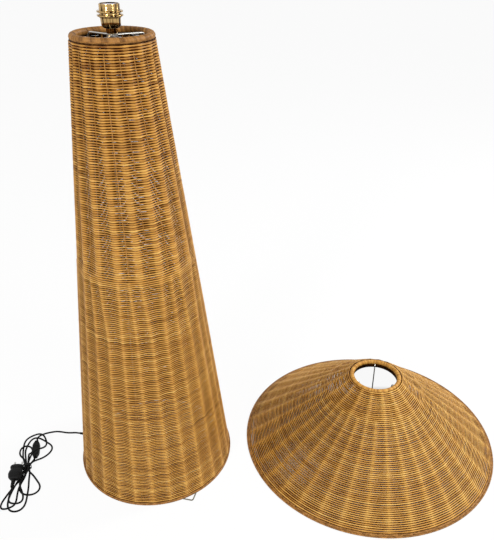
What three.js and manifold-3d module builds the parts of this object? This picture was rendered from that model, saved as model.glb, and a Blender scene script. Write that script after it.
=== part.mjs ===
// Rattan floor lamp with its shade standing beside it: a woven tapered column on a wire frame, a brass bulb
// holder on three wire legs, a wide woven shade with a dropped fitter ring, and a cord in a tied hank.
// Millimetres, +Z up, standing on z = 0, centred on the box round the column and the shade.
import * as THREE from 'three';
import { mergeVertices } from 'three/addons/utils/BufferGeometryUtils.js';
import Module from 'manifold-3d';

const wasm = await Module();
wasm.setup();

// Shared
const gap = 0.3; // left between pieces that touch
const overrun = 2; // how far a cut runs past the face that it opens

// Column
const columnHeight = 1100;
const columnBaseRadius = 207;
const columnTopRadius = 81.3;
const columnRimHeight = 8;
const columnRimLip = 1.6; // how far the base rim stands out past the weave
const columnRimRound = 2;

// Shade, and where it stands seen from the column
const shadeHeight = 228.4;
const shadeBaseRadius = 356;
const shadeTopRadius = 70.5;
const shadeHoleRadius = 58;
const shadeRimRun = 11.4; // up the slant
const shadeRimRound = 1.4;
const shadeStandGap = 48; // between the two base rims
const shadeStandBearing = 5.245; // degrees

// Weave: upright stakes that the rows pass in front of, with thin ones between that they pass behind
const bandDepth = 5.4; // how far the rows fall back between two stakes
const weaveWall = 3.6;
const weaveSteps = 108; // points round one row
const upperBandShares = [0, 0.55, 1, 0.72, 1, 0.55];
const lowerBandShares = [0, 0.92, 0.72, 0.92];
const narrowBandShares = [0, 0.85, 0.85];
const stakeGroups = 9; // two stakes each above the splice and three below
const columnGroupBearing = -97; // degrees
const columnSpliceHeight = 626; // where the extra stakes come in
const columnSpliceRun = 150; // below it they spread to even steps
const spliceLip = 6;
const shadeBandBearing = -104; // degrees
const shadeSplice = 288; // up the slant, where the shade's stakes double

// Wire frame
const hoopWire = 3.6;
const hoopSteps = 36;
const hoopSides = 5;
const legWire = 3.6;
const legBend = 9;
const legBearings = [28, 148, 268]; // degrees
const legTopBelow = 6.4; // from the column's top to where the legs leave the hub
const middleHoopHeight = 618;
const lowerHoopHeight = 296;
const toeWire = 3.2;
const toeBearing = -58.2; // degrees
const toeOut = 18; // past the column's base radius
const toeLeg = 46;
const toeCorner = 46; // degrees between a leg and the line to the column's axis
const toeBend = 5;

// Hub, boss and nipple
const hubRadius = 10.8;
const hubHeight = 5.4;
const bossRadius = 10.8;
const bossHeight = 9;
const nippleRadius = 5;
const nippleBore = 3.4;
const nutHeight = 3;
const nutRadius = 8.6;
const nippleSpare = 1.6; // thread that shows past each nut

// Bulb holder
const capHeight = 20;
const capFootRadius = 13.6;
const capTopRadius = 19.2;
const capWall = 1;
const capFloor = 1.4;
const capBeadRadius = 20.5;
const capBeadHeight = 2.4;
const holderShellRadius = 19.6;
const holderShellWall = 0.9;
const holderShellHeight = 21.6;
const holderLip = 2.2; // how far the shell's top edge turns in
const holderRingRadius = 24.4;
const holderRingHeight = 3;
const holderRingCollar = 1.6;
const holderRingSpacing = 6.9; // from the lower ring's foot to the upper ring's
const insertWall = 3.1;
const insertFloor = 9.5;
const insertFoot = 7.5; // above the cap's foot
const linerRadius = 14;
const linerWall = 0.5;
const linerHeight = 17.4;
const linerWave = 1.2; // depth of the bulb thread
const linerTurns = 3;
const contactRadius = 3.4;
const contactHeight = 2.6;
const contactPocket = 3.4;
const contactTravel = 1.5; // room below it for its spring
const lathSteps = 28;

// Shade fitter
const fitterDrop = 90; // from the shade's top to the ring's upper face
const fitterRingRadius = 28;
const fitterRingHeight = 2.4;
const fitterWire = 3.2;
const fitterBearings = [82, 202, 322]; // degrees
const fitterTopBelow = 9; // from the shade's top to the spokes' upper ends

// Cord
const cordRadius = 2.4;
const cordSides = 8;
const exitBearing = 172; // degrees
const exitHeight = 16;
const sleeveInside = 14; // from the weave's outer face inward
const sleeveOutside = 26;
const sleeveRadius = 4.6;
const sleeveTipRadius = 3.4;
const sleeveFlangeRadius = 6.6;
const sleeveFlangeHeight = 2;
const clipHeights = [860, 420]; // where the cord is held to a leg
const clipWall = 1.2;
const clipWidth = 6;

// Switch on the cord, its place in plan measured from the cord's exit
const switchX = -138.8;
const switchY = -52.6;
const switchBearing = -77; // degrees, from its lamp end to its plug end
const switchLength = 60;
const switchWidth = 20;
const switchNeck = 10;
const switchHeight = 14;
const switchSplit = 7; // where its cover meets its base, and the middle of the cord
const switchRound = 2.2;
const switchEntry = 6; // how far the cord reaches in
const rockerLength = 17;
const rockerWidth = 10;
const rockerDeep = 2.4; // below its pin's middle
const rockerRise = 4.9; // its ends, above its pin's middle
const rockerTilt = 7; // degrees each side of level
const rockerPinRadius = 1.2;
const rockerPinReach = 1.6; // past the rocker's sides

// Hank, its place measured the same way: half loops that run out from the tie and back, first below it and
// then above it, one after another
const hankX = -141.8;
const hankY = -117.6;
const hankBearing = 108; // degrees, from the lower loops to the upper ones
const hankReach = 136; // of the longest half loop
const hankSteps = 12; // in a half loop
const hankSides = 6;
const hankClear = 1.4; // aimed at between two strands
const leastClear = 0.4;
const foldRadius = 15; // tightest bend at a half loop's end
const switchLead = 12; // straight run out of the switch
const tieHalfRun = 9; // half the straight run through the tie
const tiePitch = 6.4; // between strands side by side in the tie
const tieThick = 1;
const tieWidth = 7;
const tieSlack = 0.6;
const settleRounds = 500;
const settleDrop = 0.15; // in one round

// Reach and bulge on the way out and back as shares of the hank's reach; lean in degrees off its line
const hankLoopShares = [
  { reach: 0.65, out: 0.08, back: 0.26, lean: 15 },
  { reach: 0.66, out: 0.25, back: 0.26, lean: -27 },
  { reach: 1, out: 0.11, back: 0.2, lean: -11 },
  { reach: 0.83, out: 0.13, back: 0.3, lean: -8 },
  { reach: 0.97, out: 0.14, back: 0.09, lean: -26 },
  { reach: 0.52, out: 0.12, back: 0.1, lean: 2 },
];

// Where each pass lies in the tie's round bundle, in pitches to the right of its middle and rows up
const tiePassShares = [[0.5, 0], [-0.5, 0], [1, 1], [-1, 1], [0, 1], [-0.5, 2], [0.5, 2]];

// Plug, its place measured the same way
const plugX = -153.3; // at the tip of its boot
const plugY = -199.6;
const plugAxisHeight = 22;
const plugBearing = 97; // degrees, the way its pins point
const plugLength = 44;
const plugWidth = 36;
const plugHeight = 26;
const plugSides = 20;
const bootLength = 24;
const bootRadius = 6.2;
const bootTipRadius = 3.8;
const bootRibs = 4;
const bootGroove = 0.9;
const pinRadius = 2.4;
const pinLength = 19;
const pinSpacing = 19;
const pinSeat = 7;

// Sections of the plug's body from the boot to the face: run, width and height as shares
const plugBodyShares = [
  [0, 0.42, 0.5], [0.07, 0.66, 0.66], [0.2, 0.92, 0.8], [0.42, 1.04, 0.88], [0.62, 0.98, 0.86],
  [0.74, 0.86, 0.8], [0.87, 0.84, 0.8], [0.9, 0.96, 0.96], [0.95, 1, 1], [1, 0.97, 0.97],
];

// Cord routes, in x and y from the cord's exit and height: inside the column between leg and sleeve
const innerRoute = [
  [49.2, 51.4, 62], [44.2, 33.4, 39], [37.7, 15.4, 24], [29.2, 2.4, 17.4], [19.2, -2.7, 16],
];

// From the sleeve to the switch
const leadRoute = [
  [-41.8, 6.1, 15.4], [-52.8, 8.6, 12.4], [-63.8, 12.4, 8.4], [-75.8, 17.2, 4.8], [-88.8, 21.4, 2.8],
  [-101.8, 22.8, 2.4], [-113.8, 20.8, 2.4], [-124.8, 16.7, 3], [-134.3, 11, 4.4], [-141.6, 3.6, 6.2],
  [-146.6, -5, 7.6],
];

// From the hank's last pass through the tie to the plug
const tailRoute = [
  [-132.8, -136.6], [-135.3, -147.6], [-139.3, -159.6], [-141.8, -171.6], [-139.8, -183.6], [-132.8, -194.6],
  [-125.8, -205.6], [-121.3, -218.1], [-122.8, -230.6], [-130.8, -240.1], [-141.8, -241.6], [-150.3, -234.6],
  [-153.2, -223.6], [-152.4, -213.1],
];

const { degToRad, lerp } = THREE.MathUtils;

// Materials
const material = (color, roughness, metalness) =>
  new THREE.MeshStandardMaterial({ color, roughness, metalness });
const rattan = () => material(0xb98a4e, 0.7, 0);
const binding = () => material(0xc79a5c, 0.62, 0);
const darkRattan = () => material(0x7a5228, 0.75, 0);
const steel = () => material(0xb9b8b2, 0.38, 1);
const galvanised = () => material(0x9d9a8c, 0.5, 1);
const brass = () => material(0xd0a548, 0.2, 1);
const porcelain = () => material(0xcfccd4, 0.35, 0);
const nickel = () => material(0xc6c6c4, 0.25, 1);
const blackPlastic = () => material(0x161514, 0.45, 0);
const blackVinyl = () => material(0x121110, 0.55, 0);

// Polar and plan helpers
const polar = (radius, degrees, z) => {
  const turn = degToRad(degrees);
  return new THREE.Vector3(radius * Math.cos(turn), radius * Math.sin(turn), z);
};
const heading = (degrees) => polar(1, degrees, 0);

// A cone's outer face: a point on it some way up the slant, and deep below the face
function cone(baseRadius, topRadius, height) {
  const slant = Math.hypot(baseRadius - topRadius, height);
  const rise = height / slant;
  const draw = (baseRadius - topRadius) / slant;
  const at = (up, deep) => ({
    radius: baseRadius - up * draw - deep * rise,
    z: up * rise - deep * draw,
  });
  return { slant, rise, draw, at };
}

const column = cone(columnBaseRadius, columnTopRadius, columnHeight);
const shade = cone(shadeBaseRadius, shadeTopRadius, shadeHeight);

// Where the frame lies inside the weave
const weaveDeep = bandDepth + weaveWall;
const hoopDeep = weaveDeep + gap + hoopWire / 2;
const hoopSag = columnBaseRadius * (1 - Math.cos(Math.PI / hoopSteps));
const baseHoopHeight = toeWire + gap + hoopWire / 2;
const toeReach = columnBaseRadius + toeOut;
const legDeep = hoopDeep + hoopWire / 2 + hoopSag + gap + legWire / 2;
const columnRollRadius = (legDeep - legWire / 2 - gap) / 2;
const legDraw = column.draw * columnRollRadius;
const legRadius = (z) => column.at(z / column.rise, 0).radius - legDeep - legDraw;
const shadeRollRadius = (shadeTopRadius - shadeHoleRadius) / 2;

// Heights of the stack on the hub
const legHeight = columnHeight - legTopBelow;
const hubTop = legHeight + hubHeight / 2;
const bossTop = hubTop + gap + bossHeight;
const capFoot = bossTop + gap;
const capTop = capFoot + capHeight;
const shellFoot = capTop + gap;
const shellTop = shellFoot + holderShellHeight;
const shellBore = holderShellRadius - holderShellWall;
const lowerRingFoot = capTop + gap;
const upperRingFoot = lowerRingFoot + holderRingSpacing;
const insertBase = capFoot + insertFoot;
const contactSeat = insertBase + insertFloor;

// Heights of the bundle in the tie
const tieFloor = cordRadius + tieThick + tieSlack + gap;
const tieRowRise = Math.sqrt((2 * cordRadius + hankClear) ** 2 - (tiePitch / 2) ** 2);

// Solids
function toSolid(geometry) {
  const bare = geometry.clone();
  bare.deleteAttribute('normal');
  bare.deleteAttribute('uv');
  const merged = mergeVertices(bare, 1e-4);
  const corners = Array.from(merged.index.array);
  const kept = [];
  for (let i = 0; i < corners.length; i += 3) {
    const [a, b, c] = corners.slice(i, i + 3);
    if (a !== b && b !== c && c !== a) kept.push(a, b, c);
  }
  return new wasm.Manifold(new wasm.Mesh({
    numProp: 3,
    vertProperties: new Float32Array(merged.attributes.position.array),
    triVerts: new Uint32Array(kept),
  }));
}

function toGeometry(solid) {
  const { vertProperties, triVerts } = solid.getMesh();
  const geometry = new THREE.BufferGeometry();
  geometry.setAttribute('position', new THREE.BufferAttribute(new Float32Array(vertProperties), 3));
  geometry.setIndex(new THREE.BufferAttribute(new Uint32Array(triVerts), 1));
  geometry.computeVertexNormals();
  return geometry;
}

const subtract = (geometry, ...cutters) =>
  toGeometry(cutters.reduce((solid, cutter) => solid.subtract(toSolid(cutter)), toSolid(geometry)));

// A turned piece about +Z from the points of its section, which closes on itself
function turned(section, steps = lathSteps) {
  const outline = [...section, section[0]].map(([radius, z]) => new THREE.Vector2(radius, z));
  return new THREE.LatheGeometry(outline, steps).rotateX(Math.PI / 2);
}

const rod = (radius, low, high, steps = lathSteps) =>
  new THREE.CylinderGeometry(radius, radius, high - low, steps)
    .rotateX(Math.PI / 2)
    .translate(0, 0, (low + high) / 2);

const pipe = (outer, bore, low, high, steps = lathSteps) =>
  turned([[bore, low], [outer, low], [outer, high], [bore, high]], steps);

const torus = (radius, tube, z, sides, steps) =>
  new THREE.TorusGeometry(radius, tube, sides, steps).translate(0, 0, z);

// A path whose steps fall on its own points
class Route extends THREE.Curve {
  constructor(points) {
    super();
    this.points = points;
  }

  getPoint(share) {
    const place = share * (this.points.length - 1);
    const before = Math.min(Math.floor(place + 1e-9), this.points.length - 2);
    return this.points[before].clone().lerp(this.points[before + 1], place - before);
  }

  getPointAt(share) {
    return this.getPoint(share);
  }

  getTangentAt(share) {
    const last = this.points.length - 1;
    const here = Math.round(share * last);
    const before = this.points[Math.max(here - 1, 0)];
    const after = this.points[Math.min(here + 1, last)];
    return after.clone().sub(before).normalize();
  }
}

function tube(points, radius, sides) {
  const section = new THREE.Shape();
  section.setFromPoints(Array.from({ length: sides }, (_, i) => {
    const turn = (2 * Math.PI * (i + 0.5)) / sides;
    return new THREE.Vector2(radius * Math.cos(turn), radius * Math.sin(turn));
  }));
  return new THREE.ExtrudeGeometry(section, {
    extrudePath: new Route(points),
    steps: points.length - 1,
  });
}

// A closed skin through rings of points, capped at both ends
function loft(rings) {
  const sides = rings[0].length;
  const positions = rings.flat().flatMap((p) => [p.x, p.y, p.z]);
  const faces = [];
  for (let ring = 0; ring < rings.length - 1; ring += 1) {
    for (let side = 0; side < sides; side += 1) {
      const next = (side + 1) % sides;
      const a = ring * sides + side;
      const b = ring * sides + next;
      faces.push(a, b, b + sides, a, b + sides, a + sides);
    }
  }
  const lastRing = (rings.length - 1) * sides;
  for (let side = 1; side < sides - 1; side += 1) {
    faces.push(0, side + 1, side);
    faces.push(lastRing, lastRing + side, lastRing + side + 1);
  }
  const geometry = new THREE.BufferGeometry();
  geometry.setAttribute('position', new THREE.Float32BufferAttribute(positions, 3));
  geometry.setIndex(faces);
  geometry.computeVertexNormals();
  return geometry;
}

// Points along an arc that rounds the corner of three points
function rounded(before, corner, after, radius, steps) {
  const back = before.clone().sub(corner).normalize();
  const onward = after.clone().sub(corner).normalize();
  const half = Math.acos(THREE.MathUtils.clamp(back.dot(onward), -1, 1)) / 2;
  const middle = back.clone().add(onward).normalize();
  const centre = corner.clone().addScaledVector(middle, radius / Math.sin(half));
  const start = corner.clone().addScaledVector(back, radius / Math.tan(half)).sub(centre);
  const sweep = Math.PI - 2 * half;
  const axis = middle.clone().cross(start).normalize();
  return Array.from({ length: steps + 1 }, (_, i) =>
    start.clone().applyAxisAngle(axis, (sweep * i) / steps).add(centre));
}

// Woven skins: rows of points up the outside and down the inside, joined into one closed shell
function weave(face, levels) {
  const rings = [
    ...levels.map((level) => ({ ...level, extra: 0 })),
    ...levels.toReversed().map((level) => ({ ...level, extra: weaveWall })),
  ];
  const positions = rings.flatMap(({ up, shares, turn, extra }) =>
    Array.from({ length: weaveSteps }, (_, i) => {
      const { radius, z } = face.at(up, bandDepth * shares[i % shares.length] + extra);
      return polar(radius, turn(i), z).toArray();
    }).flat());
  const faces = [];
  for (let ring = 0; ring < rings.length; ring += 1) {
    const above = (ring + 1) % rings.length;
    for (let step = 0; step < weaveSteps; step += 1) {
      const next = (step + 1) % weaveSteps;
      const [a, b] = [ring * weaveSteps + step, ring * weaveSteps + next];
      const [c, d] = [above * weaveSteps + next, above * weaveSteps + step];
      faces.push(a, b, c, a, c, d);
    }
  }
  const geometry = new THREE.BufferGeometry();
  geometry.setAttribute('position', new THREE.Float32BufferAttribute(positions, 3));
  geometry.setIndex(faces);
  geometry.computeVertexNormals();
  return geometry;
}

// Bearing of each point of a row: even above the splice; below it three stakes share a group's arc
const stepArc = 360 / weaveSteps;
const groupSteps = weaveSteps / stakeGroups;
const evenTurn = (bearing) => (i) => bearing + i * stepArc;

function spreadTurn(bearing, spread) {
  const groupArc = 360 / stakeGroups;
  const crowdedShares = [0, 0.25, 0.5, 1];
  return (i) => {
    const inGroup = i % groupSteps;
    const third = (3 * inGroup) / groupSteps;
    const before = Math.min(Math.floor(third), 2);
    const crowded = lerp(crowdedShares[before], crowdedShares[before + 1], third - before);
    const even = (third - 0.25) / 3;
    return bearing + ((i - inGroup) * stepArc) + groupArc * lerp(crowded, even, spread);
  };
}

// Column pieces
function columnWeave() {
  const rimTop = columnRimHeight + gap;
  const rollFoot = columnHeight - 2 * columnRollRadius - gap;
  const splice = columnSpliceHeight / column.rise;
  const even = evenTurn(columnGroupBearing);
  const shell = weave(column, [
    { up: (rimTop + weaveDeep * column.draw) / column.rise, shares: lowerBandShares,
      turn: spreadTurn(columnGroupBearing, 1) },
    { up: splice - columnSpliceRun, shares: lowerBandShares, turn: spreadTurn(columnGroupBearing, 1) },
    { up: splice, shares: lowerBandShares, turn: spreadTurn(columnGroupBearing, 0) },
    { up: splice + spliceLip, shares: upperBandShares, turn: even },
    { up: (rollFoot + weaveDeep * column.draw) / column.rise, shares: upperBandShares, turn: even },
  ]);
  return subtract(shell, sleeveHole());
}

function columnTopRim() {
  const centre = columnTopRadius - columnRollRadius;
  return torus(centre, columnRollRadius, columnHeight - columnRollRadius, 8, 48);
}

function columnBaseRim() {
  const outer = columnBaseRadius + columnRimLip;
  const inner = column.at(baseHoopHeight / column.rise, hoopDeep).radius + hoopWire / 2 + gap;
  const rim = turned([
    [inner, 0], [outer - columnRimRound, 0], [outer, columnRimRound],
    [outer, columnRimHeight - columnRimRound], [outer - columnRimRound, columnRimHeight],
    [inner, columnRimHeight],
  ], 72);
  return subtract(rim, tube(toePoints(), toeWire / 2 + gap, hoopSides));
}

const hoop = (z) =>
  torus(column.at(z / column.rise, hoopDeep).radius, hoopWire / 2, z, hoopSides, hoopSteps);

// One wire: out from the hub, round a bend and down the inside of the weave
function legPoints(bearing) {
  const top = legRadius(legHeight);
  const foot = baseHoopHeight - hoopWire / 2;
  const start = polar(hubRadius + gap, bearing, legHeight);
  const corner = polar(top, bearing, legHeight);
  const end = polar(legRadius(foot), bearing, foot);
  return [start, ...rounded(start, corner, end, legBend, 5), end];
}

// The end of the base wire that shows outside the rim, bent in a V and lying on the floor
function toePoints() {
  const z = toeWire / 2;
  const apex = polar(toeReach, toeBearing, z);
  const legEnd = (side) => apex.clone()
    .addScaledVector(heading(toeBearing + 180 + side * toeCorner), toeLeg);
  return [legEnd(-1), ...rounded(legEnd(-1), apex, legEnd(1), toeBend, 4), legEnd(1)];
}

const hub = () => pipe(hubRadius, nippleRadius + gap, legHeight - hubHeight / 2, hubTop);
const boss = () => pipe(bossRadius, nippleRadius + gap, hubTop + gap, bossTop, 24);

const nutFoot = legHeight - hubHeight / 2 - gap - nutHeight;
const nut = (foot) => subtract(rod(nutRadius, foot, foot + nutHeight, 6),
  rod(nippleRadius + gap, foot - overrun, foot + nutHeight + overrun, 20));
const lockNutFoot = capFoot + capFloor + gap;

function nipple() {
  return pipe(nippleRadius, nippleBore, nutFoot - nippleSpare, lockNutFoot + nutHeight + nippleSpare / 2, 20);
}

// Bulb holder pieces
function holderCap() {
  const beadFoot = capTop - capBeadHeight;
  return turned([
    [nippleRadius + gap, capFoot], [capFootRadius, capFoot],
    [lerp(capFootRadius, capTopRadius, 0.5), capFoot + 1.2 * capFloor],
    [lerp(capFootRadius, capTopRadius, 0.78), capFoot + 3 * capFloor],
    [capTopRadius - capWall / 4, lerp(capFoot, beadFoot, 0.8)],
    [capTopRadius, beadFoot], [capBeadRadius, beadFoot + capBeadHeight / 4],
    [capBeadRadius, capTop], [capTopRadius - capWall, capTop],
    [capTopRadius - capWall, beadFoot], [capTopRadius - 2 * capWall, lerp(capFoot, beadFoot, 0.7)],
    [lerp(capFootRadius, capTopRadius, 0.62) - capWall, capFoot + 3 * capFloor],
    [capFootRadius - capWall, capFoot + capFloor], [nippleRadius + gap, capFoot + capFloor],
  ]);
}

function holderShell() {
  const round = holderShellWall;
  return turned([
    [shellBore, shellFoot], [holderShellRadius, shellFoot],
    [holderShellRadius, shellTop - 2 * round], [holderShellRadius - round / 2, shellTop - round / 2],
    [holderShellRadius - 1.5 * round, shellTop], [holderShellRadius - holderLip, shellTop],
    [holderShellRadius - holderLip, shellTop - round], [shellBore, shellTop - 2 * round],
  ]);
}

function holderInsert() {
  const outer = capTopRadius - 3 * capWall + gap;
  const upper = shellBore - gap;
  const bore = upper - insertWall;
  const step = capTop + gap;
  const top = shellTop - 2 * holderShellWall - gap;
  const pocket = contactSeat - contactPocket;
  return turned([
    [0, insertBase], [outer - insertWall, insertBase],
    [outer, insertBase + insertWall], [outer, step], [upper, step],
    [upper, top - holderShellWall], [upper - holderShellWall, top], [bore, top], [bore, contactSeat],
    [contactRadius + gap, contactSeat], [contactRadius + gap, pocket], [0, pocket],
  ]);
}

// The bulb's thread, pressed into a thin liner as rounded rings
function holderLiner() {
  const foot = contactSeat + gap;
  const pitch = linerHeight / (2 * linerTurns);
  const side = (offset, index) => [
    linerRadius - offset - (index % 2 ? linerWave : 0), foot + index * pitch,
  ];
  const marks = Array.from({ length: 2 * linerTurns + 1 }, (_, index) => index);
  return turned([
    ...marks.map((index) => side(0, index)),
    ...marks.toReversed().map((index) => side(linerWall, index)),
  ]);
}

function centreContact() {
  const foot = contactSeat - contactPocket + gap + contactTravel;
  const top = foot + contactHeight;
  return turned([
    [0, foot], [contactRadius, foot], [contactRadius, top - linerWall],
    [contactRadius - linerWall, top], [0, top + linerWall],
  ], 20);
}

function holderRing(foot) {
  const bore = holderShellRadius + gap;
  const top = foot + holderRingHeight;
  const edge = holderRingHeight / 5;
  return turned([
    [bore, foot], [holderRingRadius - edge, foot], [holderRingRadius, foot + edge],
    [holderRingRadius, top - edge], [holderRingRadius - edge, top],
    [bore + holderRingCollar, top], [bore + holderRingCollar / 2, top + edge], [bore, top + edge],
  ]);
}

// Shade pieces
function shadeWeave() {
  const rollCentre = { radius: shadeHoleRadius + shadeRollRadius, z: shadeHeight - shadeRollRadius };
  const rollUp = (shadeBaseRadius - rollCentre.radius) * shade.draw + rollCentre.z * shade.rise;
  const even = evenTurn(shadeBandBearing);
  return weave(shade, [
    { up: shadeRimRun + gap, shares: narrowBandShares, turn: even },
    { up: shadeSplice, shares: narrowBandShares, turn: even },
    { up: shadeSplice + spliceLip, shares: upperBandShares, turn: even },
    { up: rollUp - shadeRollRadius - gap, shares: upperBandShares, turn: even },
  ]);
}

const shadeTopRim = () => torus(
  shadeHoleRadius + shadeRollRadius, shadeRollRadius, shadeHeight - shadeRollRadius, 8, 48);

// The rim fills the wedge between the floor and the slanting foot of the weave
function shadeBaseRim() {
  const edge = shade.at(shadeRimRun, 0);
  const inner = shade.at(shadeRimRun, (shadeRimRun * shade.rise) / shade.draw);
  const shoulder = shade.at(3 * shadeRimRound, 0);
  return turned([
    [inner.radius, 0], [shadeBaseRadius - shadeRimRound, 0], [shadeBaseRadius, shadeRimRound],
    [shoulder.radius, shoulder.z], [edge.radius, edge.z],
  ], 72);
}

const fitterTop = shadeHeight - fitterDrop;

function fitterRing() {
  const bore = holderShellRadius + 2 * gap;
  const foot = fitterTop - fitterRingHeight;
  const edge = fitterRingHeight / 4;
  return turned([
    [bore, foot], [fitterRingRadius - edge, foot], [fitterRingRadius, foot + edge],
    [fitterRingRadius, fitterTop - edge], [fitterRingRadius - edge, fitterTop], [bore, fitterTop],
  ]);
}

function fitterSpoke(bearing) {
  const top = shadeHeight - fitterTopBelow;
  const low = fitterTop - fitterRingHeight / 2;
  const rollDip = Math.abs(top - (shadeHeight - shadeRollRadius));
  const rollSide = shadeHoleRadius + shadeRollRadius - Math.sqrt(shadeRollRadius ** 2 - rollDip ** 2);
  const start = polar(rollSide - gap, bearing, top);
  const shoulder = polar(rollSide - 2 * fitterWire, bearing, top);
  const elbow = polar(fitterRingRadius + 2 * fitterWire, bearing, low);
  const end = polar(fitterRingRadius + gap, bearing, low);
  return tube([
    start, ...rounded(start, shoulder, elbow, fitterWire, 3),
    ...rounded(shoulder, elbow, end, fitterWire, 3), end,
  ], fitterWire / 2, 6);
}

// Cord inside the column: down the nipple, across to a leg, down it and out through the weave
const cordLeg = legBearings[1];
const exitFace = column.at(exitHeight / column.rise, 0).radius;
const cordExit = polar(exitFace, exitBearing, 0);
const fromExit = (x, y, z) => cordExit.clone().add(new THREE.Vector3(x, y, z));
const cordLegRadius = (z) => legRadius(z) - legWire / 2 - gap - cordRadius;

function innerCordPoints() {
  const axisTop = lockNutFoot + nutHeight;
  const along = (radius, z) => polar(radius, cordLeg, z);
  const joinHeight = legHeight - 2 * columnTopRadius;
  const crossing = [0, 0.04, 0.16, 0.36, 0.62, 0.84, 0.96, 1].map((share, i, shares) =>
    along(share * cordLegRadius(joinHeight),
      lerp(legHeight - columnTopRadius / 2, joinHeight, i / (shares.length - 1))));
  const foot = along(cordLegRadius(columnTopRadius), columnTopRadius);
  const down = [0.25, 0.5, 0.75, 1].map((share) => crossing.at(-1).clone().lerp(foot, share));
  return [
    new THREE.Vector3(0, 0, axisTop), ...crossing, ...down,
    ...innerRoute.map((place) => fromExit(...place)),
    polar(exitFace - sleeveInside / 2, exitBearing, exitHeight),
    polar(exitFace, exitBearing, exitHeight),
  ];
}

// A piece turned about +Z is laid down with its axis pointing along a bearing
const laid = (geometry, bearing, x, y, z) =>
  geometry.rotateY(Math.PI / 2).rotateZ(degToRad(bearing)).translate(x, y, z);

function sleeveHole() {
  return laid(rod(sleeveRadius + gap, exitFace - sleeveInside - overrun, exitFace + overrun, 16),
    exitBearing, 0, 0, exitHeight);
}

function cordSleeve() {
  const bore = cordRadius + gap;
  const flange = exitFace + gap;
  const tip = exitFace + sleeveOutside;
  return laid(turned([
    [bore, exitFace - sleeveInside], [sleeveRadius, exitFace - sleeveInside],
    [sleeveRadius, flange], [sleeveFlangeRadius, flange],
    [sleeveFlangeRadius, flange + sleeveFlangeHeight], [sleeveRadius, flange + sleeveFlangeHeight],
    [sleeveTipRadius, tip], [bore, tip],
  ], 16), exitBearing, 0, 0, exitHeight);
}

// A strap round a leg and the cord beside it
function cordClip(z) {
  const middle = (cordLegRadius(z) - cordRadius + legRadius(z) + legWire / 2) / 2;
  const near = cordLegRadius(z) - cordRadius - gap - clipWall - middle;
  const far = legRadius(z) + legWire / 2 + gap + clipWall - middle;
  const half = cordRadius + gap + clipWall;
  const strap = new THREE.Shape();
  const opening = new THREE.Path();
  strap.absarc(near + half, 0, half, Math.PI / 2, (3 * Math.PI) / 2);
  strap.absarc(far - half, 0, half, -Math.PI / 2, Math.PI / 2);
  opening.absarc(near + half, 0, half - clipWall, Math.PI / 2, (3 * Math.PI) / 2);
  opening.absarc(far - half, 0, half - clipWall, -Math.PI / 2, Math.PI / 2);
  strap.holes.push(opening);
  return new THREE.ExtrudeGeometry(strap, { depth: clipWidth, bevelEnabled: false, curveSegments: 5 })
    .translate(0, 0, -clipWidth / 2)
    .rotateY(-Math.asin(column.draw))
    .translate(middle, 0, z)
    .rotateZ(degToRad(cordLeg));
}

// Cord outside, from inside the sleeve to the switch
function leadPoints() {
  const tip = exitFace + sleeveOutside;
  const straight = [exitFace + gap, (exitFace + tip) / 2, tip, tip + 2 * cordRadius]
    .map((run) => polar(run, exitBearing, exitHeight));
  const end = switchMouth(-1);
  return [
    ...straight, ...leadRoute.map((place) => fromExit(...place)),
    end.clone().addScaledVector(heading(switchBearing), -2 * switchEntry), end,
  ];
}

// The hank's middle line in plan, with the heights that the switch, the tie and the plug hold
function hankPlan() {
  const line = heading(hankBearing);
  const across = heading(hankBearing - 90);
  const waist = fromExit(hankX, hankY, 0);
  const inTie = (pass, side) => {
    const [lane, row] = tiePassShares[pass];
    return waist.clone().setZ(tieFloor + row * tieRowRise)
      .addScaledVector(across, lane * tiePitch).addScaledVector(line, side * tieHalfRun);
  };
  const mouth = switchMouth(1);
  const points = [mouth, mouth.clone().addScaledVector(heading(switchBearing), switchLead)];
  const held = new Set([0, 1]);
  points.push(points[1].clone().lerp(inTie(0, 1), 1 / 2).addScaledVector(heading(switchBearing), cordRadius));
  held.add(points.push(inTie(0, 1)) - 1);
  hankLoopShares.forEach(({ reach, out, back, lean }, pass) => {
    const side = pass % 2 ? 1 : -1;
    const way = heading(hankBearing + lean + (side > 0 ? 0 : 180));
    const loop = halfLoop(inTie(pass, side), inTie(pass + 1, side), way,
      reach * hankReach, out * hankReach, back * hankReach);
    held.add(points.length);
    points.push(...loop);
    held.add(points.length - 1);
  });
  held.add(points.push(inTie(hankLoopShares.length, -1)) - 1);
  const boot = fromExit(plugX, plugY, plugAxisHeight);
  const plugWay = heading(plugBearing);
  const tieTop = inTie(hankLoopShares.length, -1).z;
  points.push(...tailRoute.map(([x, y], i) =>
    fromExit(x, y, lerp(tieTop, plugAxisHeight, i / tailRoute.length))));
  held.add(points.push(boot.clone().addScaledVector(plugWay, -2 * cordRadius)) - 1);
  held.add(points.push(boot.clone().addScaledVector(plugWay, bootLength - gap)) - 1);
  return { points, held };
}

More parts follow.
